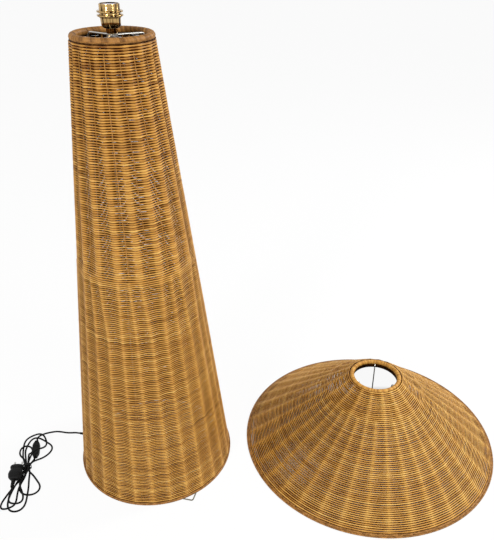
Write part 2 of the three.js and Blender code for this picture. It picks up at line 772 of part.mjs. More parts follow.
// A half loop from one strand of the tie to the next, with its steps closer where it bends more
function halfLoop(start, end, way, reach, out, back) {
  const wide = new THREE.Vector3(-way.y, way.x, 0);
  const bulge = (out + back) / 2;
  const squareness = Math.min(1, (4 * bulge * bulge) / (foldRadius * reach));
  const at = (share) => start.clone().lerp(end, share)
    .addScaledVector(way, reach * Math.sin(Math.PI * share) ** squareness)
    .addScaledVector(wide, (share < 1 / 2 ? out : back) * Math.sin(2 * Math.PI * share));
  const count = 16 * hankSteps;
  const fine = Array.from({ length: count + 1 }, (_, i) => at(i / count));
  const runs = [0];
  const turns = [0];
  for (let i = 1; i <= count; i += 1) {
    const step = fine[i].clone().sub(fine[i - 1]);
    const bend = i < count ? step.angleTo(fine[i + 1].clone().sub(fine[i])) : 0;
    runs.push(runs[i - 1] + step.length());
    turns.push(turns[i - 1] + bend);
  }
  const pace = fine.map((_, i) => (2 * runs[i] / runs[count] + turns[i] / turns[count]) / 3);
  return Array.from({ length: hankSteps + 1 }, (_, step) => {
    const after = Math.max(1, pace.findIndex((value) => value >= step / hankSteps - 1e-9));
    const share = (step / hankSteps - pace[after - 1]) / (pace[after] - pace[after - 1]);
    return fine[after - 1].clone().lerp(fine[after], share);
  });
}

const clampShare = (value) => THREE.MathUtils.clamp(value, 0, 1);

// Shares along two steps where they come nearest to each other
function nearestShares(a, b, c, d) {
  const u = b.clone().sub(a);
  const v = d.clone().sub(c);
  const w = a.clone().sub(c);
  const crossing = u.lengthSq() * v.lengthSq() - u.dot(v) ** 2;
  const first = crossing > 1e-9
    ? clampShare((u.dot(v) * v.dot(w) - v.lengthSq() * u.dot(w)) / crossing) : 1 / 2;
  const second = clampShare((u.dot(v) * first + v.dot(w)) / v.lengthSq());
  return [clampShare((u.dot(v) * second - u.dot(w)) / u.lengthSq()), second];
}

// Pairs of steps that are far enough apart along the cord to touch
function stepPairs(points) {
  const runs = [0];
  points.slice(1).forEach((point, i) => runs.push(runs[i] + point.distanceTo(points[i])));
  const pairs = [];
  for (let i = 2; i < points.length - 1; i += 1) {
    for (let j = 0; j < i - 1; j += 1) {
      if (runs[i] - runs[j + 1] > foldRadius) pairs.push([i, j]);
    }
  }
  return pairs;
}

// Obstacles push a place on a strand away: the plug down, the switch to its nearer side or over its end
function plugPush(place) {
  const way = heading(plugBearing);
  const from = place.clone().sub(fromExit(plugX, plugY, plugAxisHeight));
  const along = from.dot(way);
  const push = new THREE.Vector3();
  if (along < -2 * cordRadius || along > bootLength + plugLength + 2 * cordRadius) return push;
  const slim = along < bootLength;
  const halfWide = (slim ? bootRadius : plugWidth / 2) + cordRadius + hankClear;
  const halfHigh = (slim ? bootRadius : plugHeight / 2) + cordRadius + hankClear;
  const lean = from.dot(new THREE.Vector3(-way.y, way.x, 0)) / halfWide;
  if (Math.abs(lean) >= 1) return push;
  const roof = plugAxisHeight - halfHigh * Math.sqrt(1 - lean * lean);
  return push.setZ(Math.min(0, roof - place.z));
}

function switchPush(place) {
  const way = heading(switchBearing);
  const wide = new THREE.Vector3(-way.y, way.x, 0);
  const from = place.clone().sub(fromExit(switchX, switchY, 0));
  const side = from.dot(wide);
  const lean = from.dot(way) / (switchLength / 2 + 2 * cordRadius);
  const rise = switchHeight + 2 * cordRadius - place.z;
  const lack = (switchWidth / 2 + 2 * cordRadius) * (1 - lean ** 4) - Math.abs(side);
  if (Math.abs(lean) >= 1 || lack <= 0 || rise <= 0) return new THREE.Vector3();
  return Math.abs(lean) > 0.4 ? new THREE.Vector3(0, 0, rise) : wide.multiplyScalar(Math.sign(side) * lack);
}

// The strands sink to the floor and push each other apart, later ones over earlier ones and the lead
function settle({ points, held }) {
  const lead = leadPoints();
  const all = [...lead, ...points];
  const home = all.map((point) => point.clone());
  const free = (i) => i >= lead.length && !held.has(i - lead.length);
  const pairs = stepPairs(all);
  const apart = 2 * cordRadius + hankClear;
  const up = new THREE.Vector3(0, 0, 1);
  const shift = (i, move, weight) => {
    if (!free(i)) return;
    all[i].addScaledVector(move, weight);
    all[i].z = Math.max(cordRadius, all[i].z);
  };
  for (let round = 0; round < settleRounds; round += 1) {
    for (let i = lead.length; i < all.length - 1; i += 1) {
      if (free(i)) {
        if (round < 0.75 * settleRounds) {
          const level = (all[i - 1].z + all[i + 1].z) / 2;
          all[i].z = Math.max(cordRadius, lerp(all[i].z - settleDrop, level, 0.08));
        }
        all[i].x = lerp(all[i].x, home[i].x, 0.02);
        all[i].y = lerp(all[i].y, home[i].y, 0.02);
      }
      if (i > lead.length + 2 && i < all.length - tailRoute.length) {
        for (const share of [0, 1 / 4, 1 / 2, 3 / 4]) {
          const place = all[i].clone().lerp(all[i + 1], share);
          const push = plugPush(place).add(switchPush(place)).multiplyScalar(1 / 2);
          shift(i, push, 1 - share);
          shift(i + 1, push, share);
        }
      }
    }
    for (const [i, j] of pairs) {
      const [s, t] = nearestShares(all[i], all[i + 1], all[j], all[j + 1]);
      const away = all[i].clone().lerp(all[i + 1], s).sub(all[j].clone().lerp(all[j + 1], t));
      let lack = apart - away.length();
      if (lack <= 0) continue;
      if (Math.hypot(away.x, away.y) < 0.6 * apart && away.z < 0.6 * apart) {
        lack = Math.min(1.5 * cordRadius, apart - away.z);
        away.copy(up);
      }
      away.normalize();
      const moves = [[i, 1 - s], [i + 1, s], [j, t - 1], [j + 1, -t]].filter(([k]) => free(k));
      const total = moves.reduce((sum, [, weight]) => sum + weight * weight, 0);
      moves.forEach(([k, weight]) => shift(k, away, (weight * lack) / 2 / Math.max(total, 1 / 4)));
    }
  }
  return all.slice(lead.length);
}

function leastGap(points) {
  const gaps = stepPairs(points).map(([i, j]) => {
    const [s, t] = nearestShares(points[i], points[i + 1], points[j], points[j + 1]);
    return points[i].clone().lerp(points[i + 1], s)
      .distanceTo(points[j].clone().lerp(points[j + 1], t)) - 2 * cordRadius;
  });
  return Math.min(...gaps);
}

const cordLength = (points) =>
  points.slice(1).reduce((sum, point, i) => sum + point.distanceTo(points[i]), 0);

// A band round the bundle in the tie
function hankTie() {
  const lanes = Math.max(...tiePassShares.map(([lane]) => lane));
  const rows = Math.max(...tiePassShares.map(([, row]) => row));
  const inner = tieSlack + cordRadius;
  const halfWide = lanes * tiePitch + inner;
  const low = tieFloor - inner;
  const high = tieFloor + rows * tieRowRise + inner;
  const band = new THREE.Shape();
  const opening = new THREE.Path();
  roundedBox(band, -halfWide - tieThick, halfWide + tieThick, low - tieThick, high + tieThick,
    inner + tieThick);
  roundedBox(opening, -halfWide, halfWide, low, high, inner);
  band.holes.push(opening);
  return new THREE.ExtrudeGeometry(band, { depth: tieWidth, bevelEnabled: false, curveSegments: 3 })
    .translate(0, 0, -tieWidth / 2)
    .rotateX(Math.PI / 2)
    .rotateZ(degToRad(hankBearing - 90))
    .translate(...fromExit(hankX, hankY, 0).toArray());
}

function roundedBox(path, left, right, low, high, radius) {
  path.moveTo(left + radius, low);
  path.lineTo(right - radius, low);
  path.absarc(right - radius, low + radius, radius, -Math.PI / 2, 0);
  path.lineTo(right, high - radius);
  path.absarc(right - radius, high - radius, radius, 0, Math.PI / 2);
  path.lineTo(left + radius, high);
  path.absarc(left + radius, high - radius, radius, Math.PI / 2, Math.PI);
  path.lineTo(left, low + radius);
  path.absarc(left + radius, low + radius, radius, Math.PI, (3 * Math.PI) / 2);
}

// Switch, built along +X about its own middle and then laid in its place
const switchMouth = (side) => fromExit(switchX, switchY, switchSplit)
  .addScaledVector(heading(switchBearing), side * (switchLength / 2 - switchEntry + gap));

function switchBody() {
  const outline = new THREE.Shape();
  const [end, side, neck] = [switchLength / 2, switchWidth / 2, switchNeck / 2];
  outline.moveTo(-end, -neck);
  outline.bezierCurveTo(-0.75 * end, -neck, -0.72 * end, -side, -0.42 * end, -side);
  outline.lineTo(0.42 * end, -side);
  outline.bezierCurveTo(0.72 * end, -side, 0.75 * end, -neck, end, -neck);
  outline.lineTo(end, neck);
  outline.bezierCurveTo(0.75 * end, neck, 0.72 * end, side, 0.42 * end, side);
  outline.lineTo(-0.42 * end, side);
  outline.bezierCurveTo(-0.72 * end, side, -0.75 * end, neck, -end, neck);
  return new THREE.ExtrudeGeometry(outline, {
    depth: switchHeight - 2 * switchRound,
    bevelThickness: switchRound,
    bevelSize: switchRound,
    bevelOffset: -switchRound,
    bevelSegments: 2,
    curveSegments: 4,
  }).translate(0, 0, switchRound);
}

const block = (length, width, low, high) =>
  new THREE.BoxGeometry(length, width, high - low).translate(0, 0, (low + high) / 2);

const cordBore = (side) => new THREE.CylinderGeometry(
  cordRadius + gap, cordRadius + gap, switchEntry + overrun, hankSides * 2)
  .rotateZ(Math.PI / 2)
  .translate(side * (switchLength + overrun - switchEntry) / 2, 0, switchSplit);

const rockerAxisHeight = switchSplit + gap / 2 + gap + rockerDeep;

function switchBase() {
  return subtract(switchBody(),
    block(2 * switchLength, 2 * switchWidth, switchSplit - gap / 2, 2 * switchHeight),
    cordBore(-1), cordBore(1));
}

function switchCover() {
  const pinHole = rockerPinRadius + gap;
  const halfPin = rockerWidth / 2 + rockerPinReach + gap;
  return subtract(switchBody(),
    block(2 * switchLength, 2 * switchWidth, -overrun, switchSplit + gap / 2),
    cordBore(-1), cordBore(1),
    block(rockerLength + 2 * gap, rockerWidth + 2 * gap, 0, 2 * switchHeight),
    block(2 * pinHole, 2 * halfPin, 0, rockerAxisHeight),
    new THREE.CylinderGeometry(pinHole, pinHole, 2 * halfPin, 12).translate(0, 0, rockerAxisHeight));
}

// The rocker turns on its pin inside a circle that just clears its window
function switchRocker() {
  const reach = rockerLength / 2;
  const tip = Math.sqrt(reach ** 2 - rockerRise ** 2);
  const low = -rockerDeep;
  const side = new THREE.Shape();
  side.moveTo(0, low);
  side.quadraticCurveTo(reach / 4, low, reach / 2, low / 2);
  side.lineTo(0.96 * reach, rockerRise / 4);
  side.lineTo(tip, rockerRise);
  side.quadraticCurveTo(0, 0.7 * rockerRise, -tip, rockerRise);
  side.lineTo(-0.96 * reach, rockerRise / 4);
  side.lineTo(-reach / 2, low / 2);
  side.quadraticCurveTo(-reach / 4, low, 0, low);
  const body = new THREE.ExtrudeGeometry(side, {
    depth: rockerWidth, bevelEnabled: false, curveSegments: 4,
  }).translate(0, 0, -rockerWidth / 2).rotateX(Math.PI / 2);
  const pin = new THREE.CylinderGeometry(
    rockerPinRadius, rockerPinRadius, rockerWidth + 2 * rockerPinReach, 10);
  return toGeometry(toSolid(body).add(toSolid(pin)))
    .rotateY(degToRad(rockerTilt))
    .translate(0, 0, rockerAxisHeight);
}

// Plug, built along +X from the tip of its boot
function oval(x, width, height) {
  return Array.from({ length: plugSides }, (_, i) => {
    const turn = (2 * Math.PI * i) / plugSides;
    const round = (value) => Math.sign(value) * Math.abs(value) ** 0.8;
    return new THREE.Vector3(x, (width / 2) * round(Math.cos(turn)), (height / 2) * round(Math.sin(turn)));
  });
}

function plugBody() {
  const foot = bootLength + gap;
  const body = loft(plugBodyShares.map(([run, width, height]) =>
    oval(foot + run * (plugLength - gap), width * plugWidth, height * plugHeight)));
  const face = bootLength + plugLength;
  return subtract(body, ...[-1, 1].map((side) =>
    rod(pinRadius + gap, face - pinSeat, face + overrun, 16)
      .rotateY(Math.PI / 2).translate(0, (side * pinSpacing) / 2, 0)));
}

function plugPin(side) {
  const foot = bootLength + plugLength - pinSeat + gap;
  const tip = foot + pinSeat + pinLength - gap;
  return turned([
    [0, foot], [pinRadius, foot], [pinRadius, tip - pinRadius], [0.75 * pinRadius, tip - pinRadius / 3],
    [pinRadius / 3, tip], [0, tip],
  ], 14).rotateY(Math.PI / 2).translate(0, (side * pinSpacing) / 2, 0);
}

// The boot tapers to its tip and has grooves between its ribs
function plugBoot() {
  const bore = cordRadius + gap;
  const pitch = bootLength / (bootRibs + 1 / 2);
  const outer = (x) => lerp(bootTipRadius, bootRadius, x / bootLength);
  const ribs = Array.from({ length: bootRibs }, (_, i) => {
    const foot = i * pitch + pitch / 2;
    return [
      [outer(foot), foot], [outer(foot) - bootGroove, foot + gap],
      [outer(foot) - bootGroove, foot + pitch / 2 - gap], [outer(foot + pitch / 2), foot + pitch / 2],
    ];
  }).flat();
  return turned([
    [bore, 0], [bootTipRadius, 0], ...ribs, [bootRadius, bootLength], [bore, bootLength],
  ], 14).rotateY(Math.PI / 2);
}

// Places: the column and the shade share one box, centred on the origin
const columnReach = columnBaseRadius + columnRimLip;
const shadeStand = polar(columnReach + shadeStandGap + shadeBaseRadius, shadeStandBearing, 0);
const columnX = (columnReach - shadeStand.x - shadeBaseRadius) / 2;
const columnPlace = new THREE.Group();
columnPlace.position.set(columnX, -shadeStand.y, 0);
const shadePlace = new THREE.Group();
shadePlace.position.set(columnX + shadeStand.x, 0, 0);
const switchPlace = new THREE.Group();
switchPlace.position.copy(fromExit(switchX, switchY, 0));
switchPlace.rotation.z = degToRad(switchBearing);
const plugPlace = new THREE.Group();
plugPlace.position.copy(fromExit(plugX, plugY, plugAxisHeight));
plugPlace.rotation.z = degToRad(plugBearing);
columnPlace.add(switchPlace, plugPlace);

function add(place, name, geometry, look) {
  const mesh = new THREE.Mesh(geometry, look);
  mesh.name = name;
  place.add(mesh);
}

add(columnPlace, 'column_weave', columnWeave(), rattan());
add(columnPlace, 'column_top_rim', columnTopRim(), binding());
add(columnPlace, 'column_base_rim', columnBaseRim(), binding());
add(columnPlace, 'frame_middle_hoop', hoop(middleHoopHeight), steel());
add(columnPlace, 'frame_lower_hoop', hoop(lowerHoopHeight), steel());
add(columnPlace, 'frame_base_hoop', hoop(baseHoopHeight), steel());
legBearings.forEach((bearing, i) => {
  add(columnPlace, `frame_leg_${i + 1}`, tube(legPoints(bearing), legWire / 2, hoopSides), steel());
});
add(columnPlace, 'wire_toe', tube(toePoints(), toeWire / 2, hoopSides), galvanised());
add(columnPlace, 'spider_hub', hub(), steel());
add(columnPlace, 'hub_nut', nut(nutFoot), steel());
add(columnPlace, 'holder_boss', boss(), brass());
add(columnPlace, 'threaded_nipple', nipple(), brass());
add(columnPlace, 'holder_cap', holderCap(), brass());
add(columnPlace, 'holder_lock_nut', nut(lockNutFoot), steel());
add(columnPlace, 'holder_insert', holderInsert(), porcelain());
add(columnPlace, 'screw_liner', holderLiner(), nickel());
add(columnPlace, 'centre_contact', centreContact(), brass());
add(columnPlace, 'holder_shell', holderShell(), brass());
add(columnPlace, 'lower_shade_ring', holderRing(lowerRingFoot), brass());
add(columnPlace, 'upper_shade_ring', holderRing(upperRingFoot), brass());
add(columnPlace, 'inner_cord', tube(innerCordPoints(), cordRadius, cordSides), blackVinyl());
clipHeights.forEach((height, i) => {
  add(columnPlace, `cord_clip_${i + 1}`, cordClip(height), blackPlastic());
});
add(columnPlace, 'cord_sleeve', cordSleeve(), blackPlastic());
add(columnPlace, 'lead_cord', tube(leadPoints(), cordRadius, cordSides), blackVinyl());
add(switchPlace, 'switch_base', switchBase(), blackPlastic());
add(switchPlace, 'switch_cover', switchCover(), blackPlastic());
add(switchPlace, 'switch_rocker', switchRocker(), blackPlastic());
const hankPoints = settle(hankPlan());
console.log(`Hank: least gap ${leastGap(hankPoints).toFixed(2)} mm, aim over ${leastClear} mm; `
  + `${cordLength(hankPoints).toFixed(0)} mm of cord after ${cordLength(leadPoints()).toFixed(0)} mm of lead`);
add(columnPlace, 'hank_cord', tube(hankPoints, cordRadius, hankSides), blackVinyl());
add(columnPlace, 'hank_tie', hankTie(), blackPlastic());
add(plugPlace, 'plug_body', plugBody(), blackPlastic());
add(plugPlace, 'plug_boot', plugBoot(), blackPlastic());
add(plugPlace, 'plug_pin_left', plugPin(1), nickel());
add(plugPlace, 'plug_pin_right', plugPin(-1), nickel());
add(shadePlace, 'shade_weave', shadeWeave(), rattan());
add(shadePlace, 'shade_top_rim', shadeTopRim(), binding());
add(shadePlace, 'shade_base_rim', shadeBaseRim(), binding());
add(shadePlace, 'fitter_ring', fitterRing(), steel());
fitterBearings.forEach((bearing, i) => {
  add(shadePlace, `fitter_spoke_${i + 1}`, fitterSpoke(bearing), steel());
});

const lamp = new THREE.Group();
lamp.add(columnPlace, shadePlace);

export default lamp;
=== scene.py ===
"""Looks of the rattan floor lamp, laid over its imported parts.

Sizes are in millimetres from the foot of the column or of the shade, and become metres when a mesh is made.
"""
import math
from collections import namedtuple

import bmesh
import bpy
import numpy as np
from mathutils import Color, Matrix, Vector


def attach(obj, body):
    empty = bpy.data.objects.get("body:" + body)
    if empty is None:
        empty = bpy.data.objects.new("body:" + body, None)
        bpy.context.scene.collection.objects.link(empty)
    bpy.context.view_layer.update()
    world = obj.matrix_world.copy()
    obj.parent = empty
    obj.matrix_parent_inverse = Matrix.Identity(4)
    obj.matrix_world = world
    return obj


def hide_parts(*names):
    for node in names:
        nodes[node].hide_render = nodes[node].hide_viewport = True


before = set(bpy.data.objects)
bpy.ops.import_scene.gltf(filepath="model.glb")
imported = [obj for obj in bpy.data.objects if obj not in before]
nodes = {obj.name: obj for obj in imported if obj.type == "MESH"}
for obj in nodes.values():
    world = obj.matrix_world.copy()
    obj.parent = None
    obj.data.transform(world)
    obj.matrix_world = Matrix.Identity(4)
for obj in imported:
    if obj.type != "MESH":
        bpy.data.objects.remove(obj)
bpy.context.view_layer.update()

MM = 0.001
TURN = 2 * math.pi
CIRCLE, QUARTER, FULL_VALUE = 360, 90, 255
GAP = 0.3

# Camera, from the photograph's fitted view
IMAGE_WIDTH, IMAGE_HEIGHT = 494, 540
FOCAL_PIXELS = 598.236
OPTICAL_X, OPTICAL_Y = 256.344, 302.125
CAMERA_PLACE = (-0.09967, -1.2856, 1.2776)
CAMERA_PITCH, CAMERA_ROLL = math.radians(32.464), math.radians(0.6226)
SENSOR = 36.0
CLIP_NEAR, CLIP_FAR = 0.01, 100

# Places of the column and the shade
COLUMN = np.array([-378.7175, -56.0, 0])
SHADE = np.array([231.3175, 0, 0])
ON_COLUMN, ON_SHADE, AT_ORIGIN = (COLUMN, "column"), (SHADE, "shade"), (np.zeros(3), "column")
COLUMN_HEIGHT, COLUMN_BASE, COLUMN_TOP = 1100, 207, 81.3
SHADE_HEIGHT, SHADE_BASE, SHADE_TOP, SHADE_HOLE = 228.4, 356, 70.5, 58

# Cane section: shares of its thickness, inward, and of its half height
CANE_SECTION = ((0, -0.58), (0, 0.58), (0.4, 1), (1, 0.5), (1, -0.5), (0.4, -1))
PITCH, BAND_DEPTH, SWING_POWER = 5.06, 5.9, 1.15
CANE_HIGH, CANE_THICK_NEAR, CANE_THICK_FAR = 2.5, 2.2, 2.9

# Tones of a cane: its face, the painted shade in its creases on a stake and between two, the painted shade on
# its back, and its own change
FACE_TONE, BACK_SHADOW, OWN_TONE = 0.5, 0.9, 0.1
CREASE_COLUMN, CREASE_SHADE, CREASE_FAR = 0.46, 0.72, 1.5
NARROW_COLUMN, NARROW_SHADE = 0.5, 0.56

# Waves along a cane, as their number and size, and how a row strays from its place
WAVE_WANDER, WAVE_HIGH, WAVE_DEEP, WAVE_TONE = (9, 0.1), (14, 0.05), (11, 0.16), (5, 0.07)
WANDER_KEPT, WANDER_MOST, ROW_JITTER = 0.86, 1.3, 0.15
RIM_CALM, RIM_FLAT, CANE_APART, ACROSS_STEP = 30, 0.3, 1700, 1.2

# Where up the column its weave opens and its tone changes: heights, and the run of each change
OPEN_RISE, OPEN_FALL, OPEN_LESS = (565, 30), (900, -60), 0.22
LOOSE_RISE, LOOSE_FALL, LOOSE_TONE = (560, 60), (980, -120), 0.06
# Paler low down: painted light, making up for the lamps lighting the column's foot less
LOW_FALL, LOW_PAINTED_LIGHT = (700, -100), 0.1

# The painted shade on the shade's left side, by its bearing, and how much paler the shade is
SHADED_SIDE_BEARING, SHADED_SIDE_WIDTH, SHADED_SIDE_TONE, SHADE_PALER = -158, 42, 0.11, 0.17

# Stakes, in nine groups on the column
GROUPS = 9
STAKE_DEEP, STAKE_RADIUS, THIN_DEEP, THIN_RADIUS = 4.1, 1.75, 5.6, 0.7
STAKE_SIDES, STAKE_TONES = 6, (0.36, 0.56)
COLUMN_BEARING, COLUMN_LEAN, LEAN_FROM = -97, 5, 700
SHADE_BEARING, SHADE_LEAN = -106.5, 3.2
SPLICE, SPREAD_RUN, SHADE_SPLICE = 626, 150, 288
CROWDED, CROWD_SHIFT = (0, 0.25, 0.5, 1), 0.25

# How the lower stakes draw together on one side
DRAWN_BEARING, DRAWN_MOST, DRAWN_LEAST = -128, 5, 1.5

# Rims
RIM_HEIGHT, RIM_LIP, RIM_CORE, CORE_INSET = 8, 1.6, 0.5, 0.4
ROLL_RADIUS, SHADE_ROLL, SHADE_RIM_RUN = 6.84, 6.25, 11.4
# The tucks are darkened as painted shade in the joint under each roll
TUCK_RADIUS, TUCK_SHADOW, SEAM_DEEP, SEAM_RADIUS = 1.6, 0.34, 4.8, 2.2
# The collar under the shade's roll is darkened as painted shade inside the hole
COLLAR_INSET, COLLAR_THICK, COLLAR_HIGH, COLLAR_SHADOW = 2.5, 1.2, 16, 0.22
EDGE_INSET, BACK_SHARE, FILL_SHARE = 0.6, 1.6, 0.9
ROPE_TONES, ROPE_POWER, ROPE_APART, ROLL_PALER = (0.34, 0.56), 0.55, 31, 0.08
CORE_TONE, CORE_STEPS = 0.25, 180

# Windings as turns, strands and depth, a roll's mesh as steps to a turn and sides, and the other ropes' turns
COLUMN_WINDING, SHADE_WINDING, ROLL_MESH = (150, 3, 0.13), (110, 1, 0.08), (8, 14)
PLAIT_DEPTH, TUCK_DEPTH, TUCK_TURNS = 0.22, 0.2, 210
OUTER_TURNS, INNER_TURNS, EDGE_TURNS, BACK_TURNS, FILL_TURNS = 210, 190, 360, 340, 350

# How far the top rows run on behind the rolls, and where the column's roll begins
SHADE_TUCK, COLUMN_TUCK = 2.2, 1.6
ROLL_FOOT = COLUMN_HEIGHT - 2 * ROLL_RADIUS

# Wires
WIRE, TOE_WIRE, HOOP_DEEP, HOOP_SIDES = 1.8, 1.6, 11.1, 36
HOOP_CORNERS, HOOP_STEPS, LEG_STOPS, TOE_SIDES = 24, 160, 12, 14
BASE_HOOP_HEIGHT = 5.3
HOOP_HEIGHTS = (("frame_middle_hoop", 618), ("frame_lower_hoop", 296), ("frame_base_hoop", BASE_HOOP_HEIGHT))
LEG_BEARINGS = (28, 148, 268)
LEG_HEIGHT, LEG_BEND, HUB_RADIUS, HUB_HEIGHT = 1093.6, 9, 10.8, 5.4
TOE_REACH, TOE_BEARING, TOE_LEG, TOE_CORNER, TOE_BEND = 225, -58.2, 46, 46, 5
SPOKE_BEARINGS = (82, 202, 322)
FITTER_DROP, FITTER_RADIUS, FITTER_HIGH, FITTER_EDGE, SPOKE_BELOW = 90, 28, 2.4, 0.5, 9

# Bulb holder
NIPPLE_RADIUS, BOSS_RADIUS, BOSS_HEIGHT, TURNED_EDGE = 5, 10.8, 9, 0.6
CAP_HEIGHT, CAP_NARROW, CAP_WIDE, CAP_WALL, CAP_FLOOR = 20, 13.6, 19.2, 1, 1.4
BEAD_RADIUS, BEAD_HEIGHT, BEAD_EDGE = 20.5, 2.4, 0.5
BEAD_UNDER_IN, BEAD_UNDER_UP, BEAD_SWELL = 0.3, 0.2, 0.7
SHELL_RADIUS, SHELL_WALL, SHELL_HEIGHT, SHELL_LIP = 19.6, 0.9, 21.6, 2.2
SHELL_EDGE_IN, SHELL_EDGE_DOWN, SHELL_FACE = 0.4, 0.5, 1.3
THREAD_PITCH, THREAD_DEPTH, THREAD_START = 2.4, 0.35, 0.8
THREAD_CREST, THREAD_FLANK, THREAD_CLEAR = 0.9, 0.5, 3
RING_RADIUS, RING_HEIGHT, RING_COLLAR, RING_SPACING, RING_EDGE = 24.4, 3, 1.6, 6.9, 0.2
INSERT_WALL, INSERT_FLOOR, INSERT_FOOT, INSERT_EDGE, INSERT_LIP = 3.1, 9.5, 7.5, 0.3, 0.5
LINER_RADIUS, LINER_WALL, LINER_HEIGHT, LINER_WAVE, LINER_TURNS = 14, 0.5, 17.4, 1.2, 3
CONTACT_RADIUS, CONTACT_HEIGHT, CONTACT_POCKET, CONTACT_TRAVEL, CONTACT_DOME = 3.4, 2.6, 3.4, 1.5, 0.4
LATHE_STEPS, HUB_STEPS, CONTACT_STEPS = 96, 64, 48

# The cap's flare, as shares of its radius and floors of its height, then its neck and its inside as shares
CAP_FLARE = ((0.32, 0.5), (0.5, 1.2), (0.66, 2), (0.78, 3))
CAP_NECK_OUT, CAP_NECK_UP, CAP_LIP_UP, CAP_INSIDE_OUT, CAP_INSIDE_UP = 0.9, 0.5, 0.8, 0.62, 0.7

# Heights in the holder, each worked out from the piece below
BORE = NIPPLE_RADIUS + GAP
HUB_TOP = LEG_HEIGHT + HUB_HEIGHT / 2
BOSS_FOOT = HUB_TOP + GAP
CAP_FOOT = BOSS_FOOT + BOSS_HEIGHT + GAP
SHELL_FOOT = CAP_FOOT + CAP_HEIGHT + GAP
SEAT = CAP_FOOT + INSERT_FOOT + INSERT_FLOOR

# Cord
CORD_RADIUS = 2.4
EXIT_BEARING, EXIT_HEIGHT, EXIT_FACE = 172, 16, 205.1716
SLEEVE_INSIDE, SLEEVE_OUTSIDE, SLEEVE_RADIUS, SLEEVE_TIP = 14, 26, 4.6, 3.4
FLANGE_RADIUS, FLANGE_HEIGHT, FLANGE_EDGE = 6.6, 2, 0.4
SLEEVE_GROOVES, GROOVE_DEPTH = 6, 0.5
SWITCH_PLACE, SWITCH_BEARING = (-138.8, -52.6), -77
SWITCH_LENGTH, SWITCH_SPLIT, SWITCH_ENTRY = 60, 7, 6
HANK_PLACE, HANK_BEARING = (-141.8, -117.6), 108
TIE_PITCH, TIE_THICK, TIE_WIDTH, TIE_SLACK, TIE_ROWS, TIE_EDGE = 6.4, 1, 7, 0.6, 2, 0.3
HANK_CLEAR = 1.4
LEAD_ROUTE = (
    (-41.8, 6.1, 15.4), (-52.8, 8.6, 12.4), (-63.8, 12.4, 8.4), (-75.8, 17.2, 4.8), (-88.8, 21.4, 2.8),
    (-101.8, 22.8, 2.4), (-113.8, 20.8, 2.4), (-124.8, 16.7, 3), (-134.3, 11, 4.4), (-141.6, 3.6, 6.2),
    (-146.6, -5, 7.6),
)
HANK_SIDES, INNER_SIDES = 6, 8
CORD_ROUNDING, CORD_SMOOTHING, SLEEVE_STEPS = 5, 8, 40

# Opening of the hank's folds: its steps and least bend, and how firmly each rule pulls
HANK_STEP, HANK_BEND, HANK_APART, HANK_ROOM, HANK_LIFT = 6, 16.5, 7, 1.3, 0.15
HANK_TURNS, HANK_SMOOTH, SMOOTH_EVERY, HELD_WEIGHT = 300, 0.15, 5, 1e4
STEP_PULL, MOVE_SHARE = 1.6, 0.6

SEED = 11
random = np.random.default_rng(SEED)


def add_object(name, data):
    made = bpy.data.objects.new(name, data)
    bpy.context.scene.collection.objects.link(made)
    return made


# Camera
def make_camera():
    data = bpy.data.cameras.new("camera")
    data.sensor_width = SENSOR
    data.lens = FOCAL_PIXELS * SENSOR / IMAGE_HEIGHT
    data.shift_x = (IMAGE_WIDTH / 2 - OPTICAL_X) / IMAGE_HEIGHT
    data.shift_y = (OPTICAL_Y - IMAGE_HEIGHT / 2) / IMAGE_HEIGHT
    data.clip_start, data.clip_end = CLIP_NEAR, CLIP_FAR
    camera = add_object("camera", data)
    turn = Matrix.Rotation(TURN / 4 - CAMERA_PITCH, 4, "X") @ Matrix.Rotation(CAMERA_ROLL, 4, "Z")
    camera.matrix_world = Matrix.Translation(CAMERA_PLACE) @ turn
    bpy.context.scene.camera = camera


# Colour and node helpers
def colour(red, green, blue):
    """An RGBA in Blender's linear light from the 0 to 255 values that a picture shows."""
    shown = Color((red / FULL_VALUE, green / FULL_VALUE, blue / FULL_VALUE))
    return (*shown.from_srgb_to_scene_linear(), 1)


